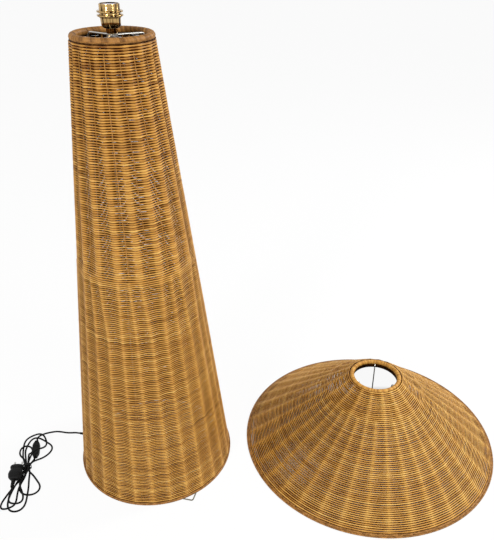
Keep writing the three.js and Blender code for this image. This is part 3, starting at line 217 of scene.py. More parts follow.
class Nodes:
    """The nodes of a material or world, made and linked by short calls."""

    def __init__(self, owner):
        owner.use_nodes = True
        self.owner = owner
        self.tree = owner.node_tree
        self.shader = self.tree.nodes.get("Principled BSDF")

    def make(self, kind, inputs=(), **settings):
        node = self.tree.nodes.new(kind)
        for key, value in settings.items():
            setattr(node, key, value)
        for key, value in dict(inputs).items():
            if isinstance(value, bpy.types.NodeSocket):
                self.tree.links.new(value, node.inputs[key])
            else:
                node.inputs[key].default_value = value
        return node

    def attribute(self, name):
        return self.make("ShaderNodeAttribute", attribute_name=name).outputs["Fac"]

    def math(self, operation, first, second, third=0.0):
        return self.make("ShaderNodeMath", {0: first, 1: second, 2: third}, operation=operation).outputs[0]

    def spread(self, value, low, high, to_low, to_high):
        inputs = {"Value": value, "From Min": low, "From Max": high, "To Min": to_low, "To Max": to_high}
        return self.make("ShaderNodeMapRange", inputs).outputs["Result"]

    def noise(self, vector, scale, detail=3.0, roughness=0.5):
        inputs = {"Vector": vector, "Scale": scale, "Detail": detail, "Roughness": roughness}
        return self.make("ShaderNodeTexNoise", inputs).outputs["Fac"]

    def join(self, x, y, z):
        return self.make("ShaderNodeCombineXYZ", {"X": x, "Y": y, "Z": z}).outputs["Vector"]

    def ramp(self, value, stops):
        node = self.make("ShaderNodeValToRGB", {"Fac": value})
        elements = node.color_ramp.elements
        while len(elements) < len(stops):
            elements.new(1)
        for element, (place, tint) in zip(elements, stops):
            element.position = place
            element.color = tint
        return node.outputs["Color"]

    def drive(self, socket, value):
        self.tree.links.new(value, self.shader.inputs[socket])

    def bump(self, height, strength, distance):
        inputs = {"Height": height, "Strength": strength, "Distance": distance}
        self.drive("Normal", self.make("ShaderNodeBump", inputs).outputs["Normal"])

    def place(self):
        return self.make("ShaderNodeTexCoord").outputs["Object"]

    def shown(self):
        """All for the camera, also through a mirror or glass, and none for the light that is given off."""
        path = self.make("ShaderNodeLightPath")
        mirrored = self.math("MAXIMUM", path.outputs["Is Camera Ray"], path.outputs["Is Glossy Ray"])
        return self.math("MAXIMUM", mirrored, path.outputs["Is Transmission Ray"])


# Cane skin: lengths of its marks in millimetres, their shares of the tone, and the colour's stops
STREAK_LENGTH, FIBRE_LENGTH, PATCH_LENGTH = 26, 9, 60
STREAK_DETAIL, STREAK_ROUGHNESS, FIBRES_ACROSS = 4, 0.6, 5
STREAK_SHARE, FIBRE_SHARE, PATCH_SHARE = 0.5, 0.3, 0.14
MIX_LOW, MIX_HIGH, DARK_STOP, MIDDLE_STOP = 0.47, 1.47, 0.22, 0.55
FIBRE_RANGE, SMOOTHER, ROUGHER = (0.25, 0.75), 0.06, 0.14
SHEEN_TONES, SHEENS = (0.1, 0.5), (0.02, 0.26)
FIBRE_BUMP, FIBRE_HEIGHT = 0.35, 0.0004
# The darkest stop, which the painted shade in creases, on cane backs and under the rolls reaches
DEEPEST_SHADOW = colour(20, 9, 3)


def rattan(name, slot, dark, middle, light, gloss=0.44):
    """Cane skin: streaks and fibres run along each cane, and every cane has a tone of its own, which also
    carries painted shade.
    """
    made = Nodes(bpy.data.materials.new(name))
    tone, along, across = (made.attribute(key) for key in ("tone", "along", "across"))
    place = made.join(made.math("DIVIDE", along, STREAK_LENGTH), across, 0)
    streak = made.noise(place, 1, STREAK_DETAIL, STREAK_ROUGHNESS)
    fine = made.math("MULTIPLY", across, FIBRES_ACROSS)
    fibre = made.noise(made.join(made.math("DIVIDE", along, FIBRE_LENGTH), fine, 0), 1)
    patch = made.noise(made.join(made.math("DIVIDE", along, PATCH_LENGTH), 0, 0), 1, 1)
    mixed = tone
    for marks, share in ((streak, STREAK_SHARE), (fibre, FIBRE_SHARE), (patch, PATCH_SHARE)):
        mixed = made.math("MULTIPLY_ADD", marks, share, mixed)
    value = made.spread(mixed, MIX_LOW, MIX_HIGH, 0, 1)
    stops = ((0, DEEPEST_SHADOW), (DARK_STOP, dark), (MIDDLE_STOP, middle), (1, light))
    made.drive("Base Color", made.ramp(value, stops))
    made.drive("Roughness", made.spread(fibre, *FIBRE_RANGE, gloss - SMOOTHER, gloss + ROUGHER))
    made.drive("Specular IOR Level", made.spread(tone, *SHEEN_TONES, *SHEENS))
    made.bump(fibre, FIBRE_BUMP, FIBRE_HEIGHT)
    return slot, made.owner


# Metal: how much coarser its stains and the brass's painted reflection streaks and finer its scratches are
# than its scale, and what they do
STAIN_AND_REFLECTION_COARSER, SCRATCH_FINER, FINE_DETAIL = 8, 4, 2
STAIN_AND_REFLECTION_RANGE, FINE_RANGE = (0.5, 0.75), (0.3, 0.7)
SMOOTH_SHARE, ROUGH_SHARE = 0.75, 1.3
SCRATCH_BUMP, SCRATCH_HEIGHT = 0.06, 0.0001


def metal(name, tint, rough, wear_and_reflection_tint, wear_and_reflection=0.3, scale=240, upright=1):
    """Bare or plated metal with soft stains, drawn out upright or even, and fine scratches; on the brass the
    dark upright streaks are painted reflections.
    """
    made = Nodes(bpy.data.materials.new(name))
    stretch = made.make("ShaderNodeMapping", {"Vector": made.place(), "Scale": (1, 1, 1 / upright)})
    place = stretch.outputs["Vector"]
    stain_and_reflection = made.noise(place, scale / STAIN_AND_REFLECTION_COARSER)
    scratch = made.noise(place, scale * SCRATCH_FINER, FINE_DETAIL)
    mark = made.spread(stain_and_reflection, *STAIN_AND_REFLECTION_RANGE, 0, wear_and_reflection)
    made.drive("Base Color", made.ramp(mark, ((0, tint), (1, wear_and_reflection_tint))))
    made.drive("Roughness", made.spread(scratch, *FINE_RANGE, rough * SMOOTH_SHARE, rough * ROUGH_SHARE))
    made.shader.inputs["Metallic"].default_value = 1
    made.bump(scratch, SCRATCH_BUMP, SCRATCH_HEIGHT)
    return name, made.owner


# Moulded ware: its dust and its grain
DUST_COARSER, DUST_RANGE = 20, (0.35, 0.8)
GRAIN_SMOOTHER, GRAIN_ROUGHER, GRAIN_HEIGHT = 0.06, 0.08, 0.0002


def moulded(name, tint, pale, rough, grain=900, bump=0.1, specular=0.5):
    """Moulded plastic or glazed ware: an even colour, a fine grain and a little dust."""
    made = Nodes(bpy.data.materials.new(name))
    place = made.place()
    dust = made.noise(place, grain / DUST_COARSER)
    fine = made.noise(place, grain, FINE_DETAIL)
    made.drive("Base Color", made.ramp(made.spread(dust, *DUST_RANGE, 0, 1), ((0, tint), (1, pale))))
    made.drive("Roughness", made.spread(fine, *FINE_RANGE, rough - GRAIN_SMOOTHER, rough + GRAIN_ROUGHER))
    made.shader.inputs["Specular IOR Level"].default_value = specular
    made.bump(fine, bump, GRAIN_HEIGHT)
    return name, made.owner


# A look is the slot that a piece fills and the material in it
RATTAN = rattan("woven_rattan", "rattan_weave", colour(92, 47, 10), colour(194, 139, 59),
                colour(240, 201, 115))
BINDING = rattan("bound_rattan", "rattan_rim", colour(76, 46, 18), colour(164, 114, 54), colour(212, 164, 92),
                 gloss=0.42)
PALE_BINDING = ("rattan_rim", RATTAN[1])
STAKE = rattan("stake_rattan", "rattan_weave", colour(110, 70, 28), colour(190, 138, 68),
               colour(226, 180, 108))
STEEL = metal("frame_steel", colour(196, 194, 188), rough=0.34, wear_and_reflection_tint=colour(128, 120, 108))
ZINC = metal("galvanised_wire", colour(104, 100, 84), rough=0.5, wear_and_reflection_tint=colour(70, 64, 52), wear_and_reflection=0.6)
# The brass's dark upright streaks are painted reflections, not wear
BRASS = metal("polished_brass", colour(188, 155, 100), rough=0.1, wear_and_reflection_tint=colour(34, 22, 10),
              wear_and_reflection=2.8, scale=1300, upright=14)
NICKEL = metal("nickel_plate", colour(206, 205, 202), rough=0.22, wear_and_reflection_tint=colour(150, 146, 138))
PORCELAIN = moulded("porcelain", colour(204, 200, 212), colour(222, 219, 226), rough=0.32,
                    grain=500, bump=0.04)
PLASTIC = moulded("black_plastic", colour(5, 5, 5), colour(12, 12, 12), rough=0.5, specular=0.16)
VINYL = moulded("black_cord", colour(4, 4, 4), colour(10, 10, 10), rough=0.62,
                grain=700, bump=0.16, specular=0.12)


# Mesh helpers: edges sharper than an angle in degrees are shown sharp
SHARP, SMOOTH = 40, 180
WELD_REACH, UPRIGHT_SHARE, WIRE_SIDES = 1e-6, 0.9, 12


def grid(rows, columns, closed=True):
    """Quads over a grid of points, closed round along its rows and, as a rule, from last row to first."""
    row, column = np.meshgrid(np.arange(rows if closed else rows - 1), np.arange(columns), indexing="ij")
    next_row, next_column = (row + 1) % rows, (column + 1) % columns
    corners = [row * columns + column, row * columns + next_column,
               next_row * columns + next_column, next_row * columns + column]
    return np.stack(corners, -1).reshape(-1, 4)


def outward(points, faces):
    """The faces, turned over where their solid would be inside out."""
    a, b, c, d = (points[faces[:, i]] for i in range(4))
    volume = np.einsum("ij,ij->i", a, np.cross(b, c)) + np.einsum("ij,ij->i", a, np.cross(c, d))
    return faces if volume.sum() > 0 else faces[:, ::-1]


def make_piece(name, points, faces, home, look, replaced=(), facts=(), sharp=SHARP):
    """A mesh on its body: home is its centre and body, look its slot and material; the slot is not used."""
    (centre, body), (slot, material) = home, look
    mesh = bpy.data.meshes.new(name)
    mesh.from_pydata(((points + centre) * MM).tolist(), [], [list(face) for face in faces])
    for key, values in dict(facts).items():
        attribute = mesh.attributes.new(key, "FLOAT", "POINT")
        attribute.data.foreach_set("value", np.asarray(values, np.float32).ravel())
    mesh.materials.append(material)
    mesh.shade_smooth()
    mesh.set_sharp_from_angle(angle=math.radians(sharp))
    piece = add_object(name, mesh)
    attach(piece, body)
    if replaced:
        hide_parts(*replaced)
    return piece


def weld(piece):
    """Joins the points that a turned section leaves on its axis."""
    work = bmesh.new()
    work.from_mesh(piece.data)
    bmesh.ops.remove_doubles(work, verts=work.verts, dist=WELD_REACH)
    work.to_mesh(piece.data)
    work.free()


def turned(section, steps):
    """A closed section turned round the upright axis."""
    outline = np.array(section, float)
    turn = np.arange(steps) * TURN / steps
    radius, height = outline[:, 0][:, None], outline[:, 1][:, None]
    points = np.stack([radius * np.cos(turn), radius * np.sin(turn), height + 0 * turn], -1).reshape(-1, 3)
    return points, outward(points, grid(len(outline), steps))


def lathe(name, section, home, look, replaced, steps=LATHE_STEPS):
    piece = make_piece(name, *turned(section, steps), home, look, replaced)
    weld(piece)
    return piece


def polar(radius, bearing, height):
    turn = np.radians(bearing)
    return np.stack(np.broadcast_arrays(radius * np.cos(turn), radius * np.sin(turn), height), -1)


def sweep(line, radius, sides):
    """A round tube along a line, its frame carried along without twist and its ends closed."""
    line = np.asarray(line, float)
    way = np.gradient(line, axis=0)
    way /= np.linalg.norm(way, axis=1)[:, None]
    side = np.cross(way[0], [0, 0, 1] if abs(way[0][2]) < UPRIGHT_SHARE else [1, 0, 0])
    rings = []
    turn = np.arange(sides) * TURN / sides
    for centre, along in zip(line, way):
        side = side - along * side.dot(along)
        side /= np.linalg.norm(side)
        other = np.cross(along, side)
        rings.append(centre + radius * (np.outer(np.cos(turn), side) + np.outer(np.sin(turn), other)))
    points = np.concatenate(rings)
    faces = outward(points, grid(len(line), sides, closed=False))
    last = len(points) - 1
    return points, [*faces.tolist(), list(range(sides)), list(range(last, last - sides, -1))]


def wire(name, line, radius, home, look, replaced, sides=WIRE_SIDES):
    return make_piece(name, *sweep(line, radius, sides), home, look, replaced)


def rounded(before, corner, after, radius, steps):
    """Points on the arc that rounds a corner."""
    before, corner, after = (np.asarray(p, float) for p in (before, corner, after))
    back = (before - corner) / np.linalg.norm(before - corner)
    onward = (after - corner) / np.linalg.norm(after - corner)
    half = math.acos(np.clip(back.dot(onward), -1, 1)) / 2
    middle = (back + onward) / np.linalg.norm(back + onward)
    centre = corner + middle * radius / math.sin(half)
    start = corner + back * radius / math.tan(half) - centre
    sweep_angle = math.pi - 2 * half
    axis = Vector(np.cross(middle, start)).normalized()
    return [centre + np.array(Matrix.Rotation(sweep_angle * i / steps, 3, axis) @ Vector(start))
            for i in range(steps + 1)]


class Cone:
    """A tapered skin: points some way up its slant, deep below its outer face, on a bearing."""

    def __init__(self, base, top, height):
        slant = math.hypot(base - top, height)
        self.base, self.rise, self.draw = base, height / slant, (base - top) / slant

    def radius(self, up, deep):
        return self.base - up * self.draw - deep * self.rise

    def at(self, up, deep, bearing):
        return polar(self.radius(up, deep), bearing, up * self.rise - deep * self.draw)


column = Cone(COLUMN_BASE, COLUMN_TOP, COLUMN_HEIGHT)
shade = Cone(SHADE_BASE, SHADE_TOP, SHADE_HEIGHT)


# Cords
def tube_line(name, sides, start):
    """The middle line of a packed tube: its rings of corners are walked from the end nearest start."""
    mesh = nodes[name].data
    places = np.array([v.co for v in mesh.vertices]) / MM
    keys = {}
    same = [keys.setdefault(tuple(np.round(place, 2)), len(keys)) for place in places]
    corners = np.zeros((len(keys), 3))
    corners[same] = places
    near = [set() for _ in keys]
    for edge in mesh.edges:
        a, b = (same[i] for i in edge.vertices)
        near[a].add(b)
        near[b].add(a)
    ring = set(np.argsort(np.linalg.norm(corners - start, axis=1))[:sides].tolist())
    seen, line = set(ring), []
    while ring:
        line.append(corners[list(ring)].mean(0))
        ring = set().union(*(near[i] for i in ring)) - seen
        seen |= ring
    return np.array(line)


def along_line(line, step):
    """The same line with evenly spaced points."""
    run = np.concatenate([[0], np.cumsum(np.linalg.norm(np.diff(line, axis=0), axis=1))])
    places = np.linspace(0, run[-1], round(run[-1] / step) + 1)
    return np.stack([np.interp(places, run, line[:, axis]) for axis in range(3)], 1)


def smoother(held):
    """The matrix that evens out a line's bends and leaves its held points where they are."""
    third = np.diff(np.eye(len(held)), 3, axis=0)
    weight = np.diag(np.where(held, HELD_WEIGHT, 1))
    return np.linalg.solve(weight + HANK_SMOOTH * third.T @ third, weight)


def opened(line):
    """A hank's line with its folds opened to the least bend, its loops apart and its length kept."""
    points = along_line(line, HANK_STEP)
    count, low, high = len(points), line.min(0) + np.array([0, 0, HANK_LIFT]), line.max(0)
    first, second = np.triu_indices(count, HANK_APART)
    held = np.zeros(count, bool)
    held[:2] = held[-2:] = True
    smooth, clear = smoother(held), 2 * CORD_RADIUS + HANK_ROOM
    for turn in range(HANK_TURNS):
        move = np.zeros_like(points)
        for reach in range(1, HANK_APART):
            step = points[reach:] - points[:-reach]
            length = np.linalg.norm(step, axis=1)
            bent = 2 * HANK_BEND * math.sin(min(reach * HANK_STEP / (2 * HANK_BEND), TURN / 4))
            short = (length - HANK_STEP) * STEP_PULL if reach == 1 else np.minimum(length - bent, 0)
            push = step / length[:, None] * (short / 4)[:, None]
            move[:-reach] += push
            move[reach:] -= push
        step = points[first] - points[second]
        length = np.linalg.norm(step, axis=1)
        touch = length < clear
        push = step[touch] / length[touch][:, None] * ((clear - length[touch]) / 2)[:, None]
        np.add.at(move, first[touch], push)
        np.add.at(move, second[touch], -push)
        points = points + np.where(held[:, None], 0, MOVE_SHARE * move)
        if turn % SMOOTH_EVERY == 0:
            points = smooth @ points
        points = np.clip(points, low, high)
    return points


def cord_curve(name, line, body, replaced):
    """A round cord on one smooth open spline through the points of its line, which are in metres."""
    data = bpy.data.curves.new(name, "CURVE")
    data.dimensions = "3D"
    data.bevel_depth = CORD_RADIUS * MM
    data.bevel_resolution, data.resolution_u = CORD_ROUNDING, CORD_SMOOTHING
    data.use_fill_caps = True
    spline = data.splines.new("BEZIER")
    spline.bezier_points.add(len(line) - 1)
    for point, place in zip(spline.bezier_points, line):
        point.co = place
        point.handle_left_type = point.handle_right_type = "AUTO"
    data.materials.append(VINYL[1])
    piece = add_object(name, data)
    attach(piece, body)
    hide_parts(replaced)
    return piece


def from_exit(x, y, z):
    return polar(EXIT_FACE, EXIT_BEARING, 0) + np.array([x, y, z])


def switch_mouth(side):
    run = side * (SWITCH_LENGTH / 2 - SWITCH_ENTRY)
    return from_exit(*SWITCH_PLACE, SWITCH_SPLIT) + polar(run, SWITCH_BEARING, 0)


def lead_line():
    tip = EXIT_FACE + SLEEVE_OUTSIDE
    runs = (EXIT_FACE + GAP, (EXIT_FACE + tip) / 2, tip, tip + 2 * CORD_RADIUS)
    straight = [polar(run, EXIT_BEARING, EXIT_HEIGHT) for run in runs]
    end = switch_mouth(-1)
    last = end - polar(2 * SWITCH_ENTRY, SWITCH_BEARING, 0)
    return np.array([*straight, *(from_exit(*point) for point in LEAD_ROUTE), last, end])


def make_sleeve():
    """The strain relief in the weave: a flange and a tapered, grooved tail, laid along the cord's exit."""
    bore = CORD_RADIUS + GAP / 2
    flange = EXIT_FACE + GAP
    neck, tip = flange + FLANGE_HEIGHT, EXIT_FACE + SLEEVE_OUTSIDE
    section = [
        (bore, EXIT_FACE - SLEEVE_INSIDE), (SLEEVE_RADIUS, EXIT_FACE - SLEEVE_INSIDE),
        (SLEEVE_RADIUS, flange), (FLANGE_RADIUS, flange), (FLANGE_RADIUS, neck - FLANGE_EDGE),
        (FLANGE_RADIUS - FLANGE_EDGE, neck), (SLEEVE_RADIUS, neck),
    ]
    step = (tip - neck) / (2 * SLEEVE_GROOVES)
    for i in range(1, 2 * SLEEVE_GROOVES):
        share = i / (2 * SLEEVE_GROOVES)
        outer = SLEEVE_RADIUS + (SLEEVE_TIP - SLEEVE_RADIUS) * share
        section.append((outer - (GROOVE_DEPTH if i % 2 else 0), neck + i * step))
    section += [(SLEEVE_TIP, tip), (bore, tip)]
    piece = lathe("strain_relief", section, AT_ORIGIN, PLASTIC, ["cord_sleeve"], SLEEVE_STEPS)
    turn = Matrix.Rotation(math.radians(EXIT_BEARING), 4, "Z") @ Matrix.Rotation(math.pi / 2, 4, "Y")
    place = Matrix.Translation(Vector((COLUMN[0], COLUMN[1], EXIT_HEIGHT)) * MM)
    piece.data.transform(place @ turn)
    return piece


def rounded_box(left, right, low, high, radius, steps=8):
    """Points round a rounded rectangle."""
    middles = ((right - radius, low + radius), (right - radius, high - radius),
               (left + radius, high - radius), (left + radius, low + radius))
    points = []
    for corner, middle in enumerate(middles, -1):
        turn = (corner + np.arange(steps + 1) / steps) * TURN / 4
        points.append(middle + radius * np.column_stack([np.cos(turn), np.sin(turn)]))
    return np.concatenate(points)


def make_tie():
    """A soft band round the hank's middle, with rounded edges."""
    inner = TIE_SLACK + CORD_RADIUS
    rise = math.sqrt((2 * CORD_RADIUS + HANK_CLEAR) ** 2 - (TIE_PITCH / 2) ** 2)
    floor = CORD_RADIUS + TIE_THICK + TIE_SLACK + GAP
    wide, low, high = TIE_PITCH + inner, floor - inner, floor + TIE_ROWS * rise + inner
    edge, flat, face = TIE_WIDTH / 2, TIE_WIDTH / 2 - TIE_EDGE, TIE_THICK - TIE_EDGE
    section = ((0, -flat), (0, flat), (TIE_EDGE, edge), (face, edge),
               (TIE_THICK, flat), (TIE_THICK, -flat), (face, -edge), (TIE_EDGE, -edge))
    loops = []
    for out, along in section:
        outline = rounded_box(-wide - out, wide + out, low - out, high + out, inner + out)
        loops.append(np.column_stack([outline[:, 0], np.full(len(outline), along), outline[:, 1]]))
    local = np.concatenate(loops)
    turn = math.radians(HANK_BEARING - QUARTER)
    spin = np.array([[math.cos(turn), math.sin(turn), 0], [-math.sin(turn), math.cos(turn), 0], [0, 0, 1]])
    points = local @ spin + from_exit(*HANK_PLACE, 0)
    faces = outward(points, grid(len(section), len(loops[0])))
    return make_piece("cord_tie", points, faces, ON_COLUMN, PLASTIC, ["hank_tie"])


def make_cords():
    lead = (lead_line() + COLUMN) * MM
    lead_cord = cord_curve("cord_lead", lead, "column", "lead_cord")
    start = switch_mouth(1) + COLUMN
    hank = opened(tube_line("hank_cord", HANK_SIDES, start)) * MM
    hank_cord = cord_curve("cord_hank", hank, "column", "hank_cord")
    sleeve, tie = make_sleeve(), make_tie()
    inner = tube_line("inner_cord", INNER_SIDES, polar(EXIT_FACE, EXIT_BEARING, EXIT_HEIGHT) + COLUMN)
    wire("cord_inside", inner, CORD_RADIUS, AT_ORIGIN, VINYL, ["inner_cord"])


# Weave
def upper_bearing(band, bands, up):
    """Bearing of a point above the splice: the stakes lean a little the higher they are."""
    lean = COLUMN_LEAN * np.maximum(0, up * column.rise - LEAN_FROM) / (COLUMN_HEIGHT - LEAN_FROM)
    return COLUMN_BEARING - lean + band * CIRCLE / bands


def lower_bearing(band, bands, up):
    """Bearing of a point below the splice: crowded next to it, and nearly even further down."""
    each = bands / GROUPS
    group = np.floor(band / each)
    share = band - group * each
    crowded = np.interp(share, np.arange(len(CROWDED)), CROWDED)
    even = (share - CROWD_SHIFT) / each
    spread = np.clip((SPLICE / column.rise - up) / SPREAD_RUN, 0, 1)
    bearing = COLUMN_BEARING + CIRCLE / GROUPS * (group + crowded + (even - crowded) * spread)
    drawn = ((1 + np.cos(np.radians(bearing - DRAWN_BEARING))) / 2) ** 2
    return bearing + spread * (DRAWN_MOST * drawn - DRAWN_LEAST)


def shade_bearing(band, bands, up):
    """Bearing of a point on the shade: the stakes lean low down."""
    return SHADE_BEARING - SHADE_LEAN * (1 - np.minimum(up / SHADE_SPLICE, 1)) + band * CIRCLE / bands


def waves(bearing, terms, size):
    """A seeded sum of waves round a ring."""
    phase = random.uniform(0, TURN, terms)
    strength = random.normal(0, size / math.sqrt(terms), terms)
    turn = np.radians(bearing)[:, None]
    return (strength * np.sin(turn * np.arange(1, terms + 1) + phase)).sum(1)


def fade(value, start, run):
    """A share that goes from none to all over a run; a fall has a negative run and starts at its top."""
    return np.clip((value - start) / run, 0, 1)


def openness(height):
    """How much thinner the canes are in the loose stretch of the column, as a share of the most."""
    return fade(height, *OPEN_RISE) * fade(height, *OPEN_FALL)


def opening_share(phase, opens):
    """How far a gap is open at each step, from none at a stake to all the way between two."""
    start, end = opens
    way = fade(2 * np.minimum(phase, 1 - phase), start, end - start)
    return way * way * (3 - 2 * way)


def make_canes(name, home, replaced, stretch, ups):
    """Closed cane rings, one to a row: they pass in front of the stakes and fall back between them."""
    (near, narrow, less, tones), cone, steps = stretch.skin, stretch.cone, stretch.steps
    band = np.arange(steps) * stretch.bands / steps
    phase = band % 1
    swing = np.abs(np.sin(math.pi * phase)) ** SWING_POWER
    opening = opening_share(phase, stretch.opens)
    crease = near + (CREASE_FAR - near) * opening
    thick = CANE_THICK_NEAR + (CANE_THICK_FAR - CANE_THICK_NEAR) * swing
    points, tone, along, across = [], [], [], []
    wander = np.zeros(steps)
    for up in ups:
        bearing, height = stretch.bearing(band, stretch.bands, up), up * cone.rise
        wander = WANDER_KEPT * wander + waves(bearing, *WAVE_WANDER)
        lift = np.clip(wander, -WANDER_MOST, WANDER_MOST) + random.normal(0, ROW_JITTER)
        inward = min(1, (up - ups[0]) / RIM_CALM, (ups[-1] - up) / RIM_CALM)
        change = stretch.high - less * openness(height) - CANE_HIGH
        high = (CANE_HIGH + change * opening * min(1, 2 * inward)) * (1 + waves(bearing, *WAVE_HIGH))
        deep = BAND_DEPTH * stretch.swing * swing * min(1, RIM_FLAT + inward)
        deep = deep + np.abs(waves(bearing, *WAVE_DEEP))
        own = random.uniform(0, 1)
        around = np.radians(bearing) * cone.radius(up, 0) + CANE_APART * own
        face = FACE_TONE + OWN_TONE * (own - 1 / 2) + waves(bearing, *WAVE_TONE)
        # Painted shade: a cane is darker where it falls back between two stakes
        face = face - stretch.dull * opening + tones(height, bearing)
        for out, side in CANE_SECTION:
            reach = side * high * (1 if out else 1 - narrow * opening)
            points.append(cone.at(up + lift * inward + reach, deep + out * thick, bearing))
            # Painted shade: each cane's creases and back are darkened, the creases the more between stakes
            tone.append(np.clip(face - (crease if out else 0) - BACK_SHADOW * (out == 1), 0, 1))
            along.append(around)
            across.append(np.full(steps, side * ACROSS_STEP + out))
    starts = np.arange(0, len(points), len(CANE_SECTION)) * steps
    faces = (grid(len(CANE_SECTION), steps)[None] + starts[:, None, None]).reshape(-1, 4)
    points = np.concatenate(points)
    facts = dict(tone=np.concatenate(tone), along=np.concatenate(along), across=np.concatenate(across))
    make_piece(name, points, outward(points, faces), home, RATTAN, replaced, facts, SMOOTH)


def column_tones(height, bearing):
    """Broad changes of tone up the column: paler in the loose stretch, and paler low down as painted light.
    """
    loose = fade(height, *LOOSE_RISE) * fade(height, *LOOSE_FALL)
    return LOW_PAINTED_LIGHT * fade(height, *LOW_FALL) + LOOSE_TONE * loose


def shade_tones(height, bearing):
    """The shade is a little paler, with painted shade darkening its left side."""
    away = (bearing - SHADED_SIDE_BEARING + CIRCLE / 2) % CIRCLE - CIRCLE / 2
    return SHADE_PALER - SHADED_SIDE_TONE * np.exp(-(away / SHADED_SIDE_WIDTH) ** 2)


# Skins: the painted shade in a crease on a stake, how much narrower a face is between two, the most thinning,
# the tones
COLUMN_SKIN = (CREASE_COLUMN, NARROW_COLUMN, OPEN_LESS, column_tones)
SHADE_SKIN = (CREASE_SHADE, NARROW_SHADE, 0, shade_tones)

# Stretches of weave: bands between stakes, steps round, stops up a stake, and how a cane is half way between
# two stakes: its half height, the painted shade that darkens it there, the shares of the way over which a gap
# opens, how deep it swings
Stretch = namedtuple("Stretch", "cone bearing skin bands steps stops high dull opens swing")
COLUMN_LOW = Stretch(column, lower_bearing, COLUMN_SKIN, bands=3 * GROUPS, steps=162, stops=34,
                     high=2.2, dull=0.03, opens=(0.14, 0.46), swing=0.8)
COLUMN_HIGH = Stretch(column, upper_bearing, COLUMN_SKIN, bands=2 * GROUPS, steps=144, stops=12,
                      high=2.28, dull=0.04, opens=(0.22, 0.62), swing=1)
SHADE_OUTER = Stretch(shade, shade_bearing, SHADE_SKIN, bands=4 * GROUPS, steps=216, stops=10,
                      high=2.2, dull=0.04, opens=(0.14, 0.46), swing=0.6)
SHADE_INNER = SHADE_OUTER._replace(bands=2 * GROUPS, high=2.44, swing=0.7)


def row_heights(low, high):
    count = round((high - low) / PITCH)
    return low + (np.arange(count) + 1 / 2) * (high - low) / count


def join_parts(parts):
    """One set of points, faces and facts from several."""
    points, faces, facts, count = [], [], {"tone": [], "along": [], "across": []}, 0
    for part_points, part_faces, part_facts in parts:
        points.append(part_points)
        faces += [[corner + count for corner in face] for face in part_faces]
        count += len(part_points)
        for key in facts:
            facts[key].append(part_facts[key])
    return np.concatenate(points), faces, {key: np.concatenate(facts[key]) for key in facts}


def make_stakes(name, home, cone, lines, deep, radius):
    """Tubes up the slant, each given as its ways up and the bearing at each."""
    parts, round_stake = [], np.sin(np.arange(STAKE_SIDES) * TURN / STAKE_SIDES)
    for ups, bearings in lines:
        points, faces = sweep(cone.at(ups, deep, bearings), radius, STAKE_SIDES)
        facts = dict(tone=np.full(len(points), random.uniform(*STAKE_TONES)),
                     along=np.repeat(ups, STAKE_SIDES), across=np.tile(round_stake, len(ups)))
        parts.append((points, faces, facts))
    points, faces, facts = join_parts(parts)
    make_piece(name, points, faces, home, STAKE, facts=facts)


def stake_lines(stretch, low, high, offset=0):
    """One line to a band, or with an offset of half a band the thin stakes' lines between them."""
    ups = np.linspace(low, high, stretch.stops)
    bands = [np.full(len(ups), band + offset) for band in range(stretch.bands)]
    return [(ups, stretch.bearing(band, stretch.bands, ups)) for band in bands]


def make_weave(skin, home, rows, ends, lower, upper):
    """A skin's canes and stakes, from its rows, its foot, splice and top, and its two stretches."""
    (low, splice, high), cone, replaced = ends, lower.cone, [skin + "_weave"]
    make_canes(skin + "_canes_low", home, replaced, lower, rows[rows < splice])
    make_canes(skin + "_canes_high", home, replaced, upper, rows[rows >= splice])
    lines = stake_lines(lower, low, splice) + stake_lines(upper, splice, high)
    make_stakes(skin + "_stakes", home, cone, lines, STAKE_DEEP, STAKE_RADIUS)
    lines = stake_lines(upper, splice, high, 1 / 2)
    make_stakes(skin + "_thin_stakes", home, cone, lines, THIN_DEEP, THIN_RADIUS)


def make_column_weave():
    ends = (RIM_HEIGHT + 1) / column.rise, SPLICE / column.rise, (ROLL_FOOT - 1) / column.rise
    rows = row_heights((RIM_HEIGHT + GAP) / column.rise, (ROLL_FOOT + COLUMN_TUCK) / column.rise)
    make_weave("column", ON_COLUMN, rows, ends, COLUMN_LOW, COLUMN_HIGH)


def make_shade_weave():
    top = shade_roll_up() - SHADE_ROLL
    rows = row_heights(SHADE_RIM_RUN + GAP, top + SHADE_TUCK)
    make_weave("shade", ON_SHADE, rows, (SHADE_RIM_RUN + 1, SHADE_SPLICE, top), SHADE_OUTER, SHADE_INNER)


# Rims
def rope(radius, height, tube, twists, strands=1, depth=PLAIT_DEPTH, steps_each=6, sides=10):
    """A twisted or wound ring: ridges run slantwise round a tube, with a crease between two turns."""
    steps = twists * steps_each
    turns_round, sides_round = np.arange(steps) * TURN / steps, np.arange(sides) * TURN / sides
    turn, around = np.meshgrid(turns_round, sides_round, indexing="ij")
    phase = twists * turn + strands * around
    ridge = np.abs(np.cos(phase / 2)) ** ROPE_POWER
    reach = tube * (1 - depth * (1 - ridge))
    out, high = radius + reach * np.cos(around), height + reach * np.sin(around)
    points = np.stack([out * np.cos(turn), out * np.sin(turn), high], -1).reshape(-1, 3)
    turns = np.floor(phase / TURN + 1 / 2).astype(int)
    tones = random.uniform(*ROPE_TONES, turns.max() + 1)
    facts = dict(tone=tones[turns].ravel(), along=(around * tube + turns * ROPE_APART).ravel(),
                 across=(phase / TURN % 1).ravel())
    return points, outward(points, grid(steps, sides)), facts


def toned(part, change):
    """The same part of a rim, paler or darker."""
    points, faces, facts = part
    return points, faces, {**facts, "tone": facts["tone"] + change}


def core(section):
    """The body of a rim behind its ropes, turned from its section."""
    points, faces = turned(section, CORE_STEPS)
    around = np.arange(CORE_STEPS) * TURN / CORE_STEPS * COLUMN_BASE
    facts = dict(tone=np.full(len(points), CORE_TONE), along=np.tile(around, len(section)),
                 across=np.repeat(np.arange(len(section)), CORE_STEPS))
    return points, faces, facts


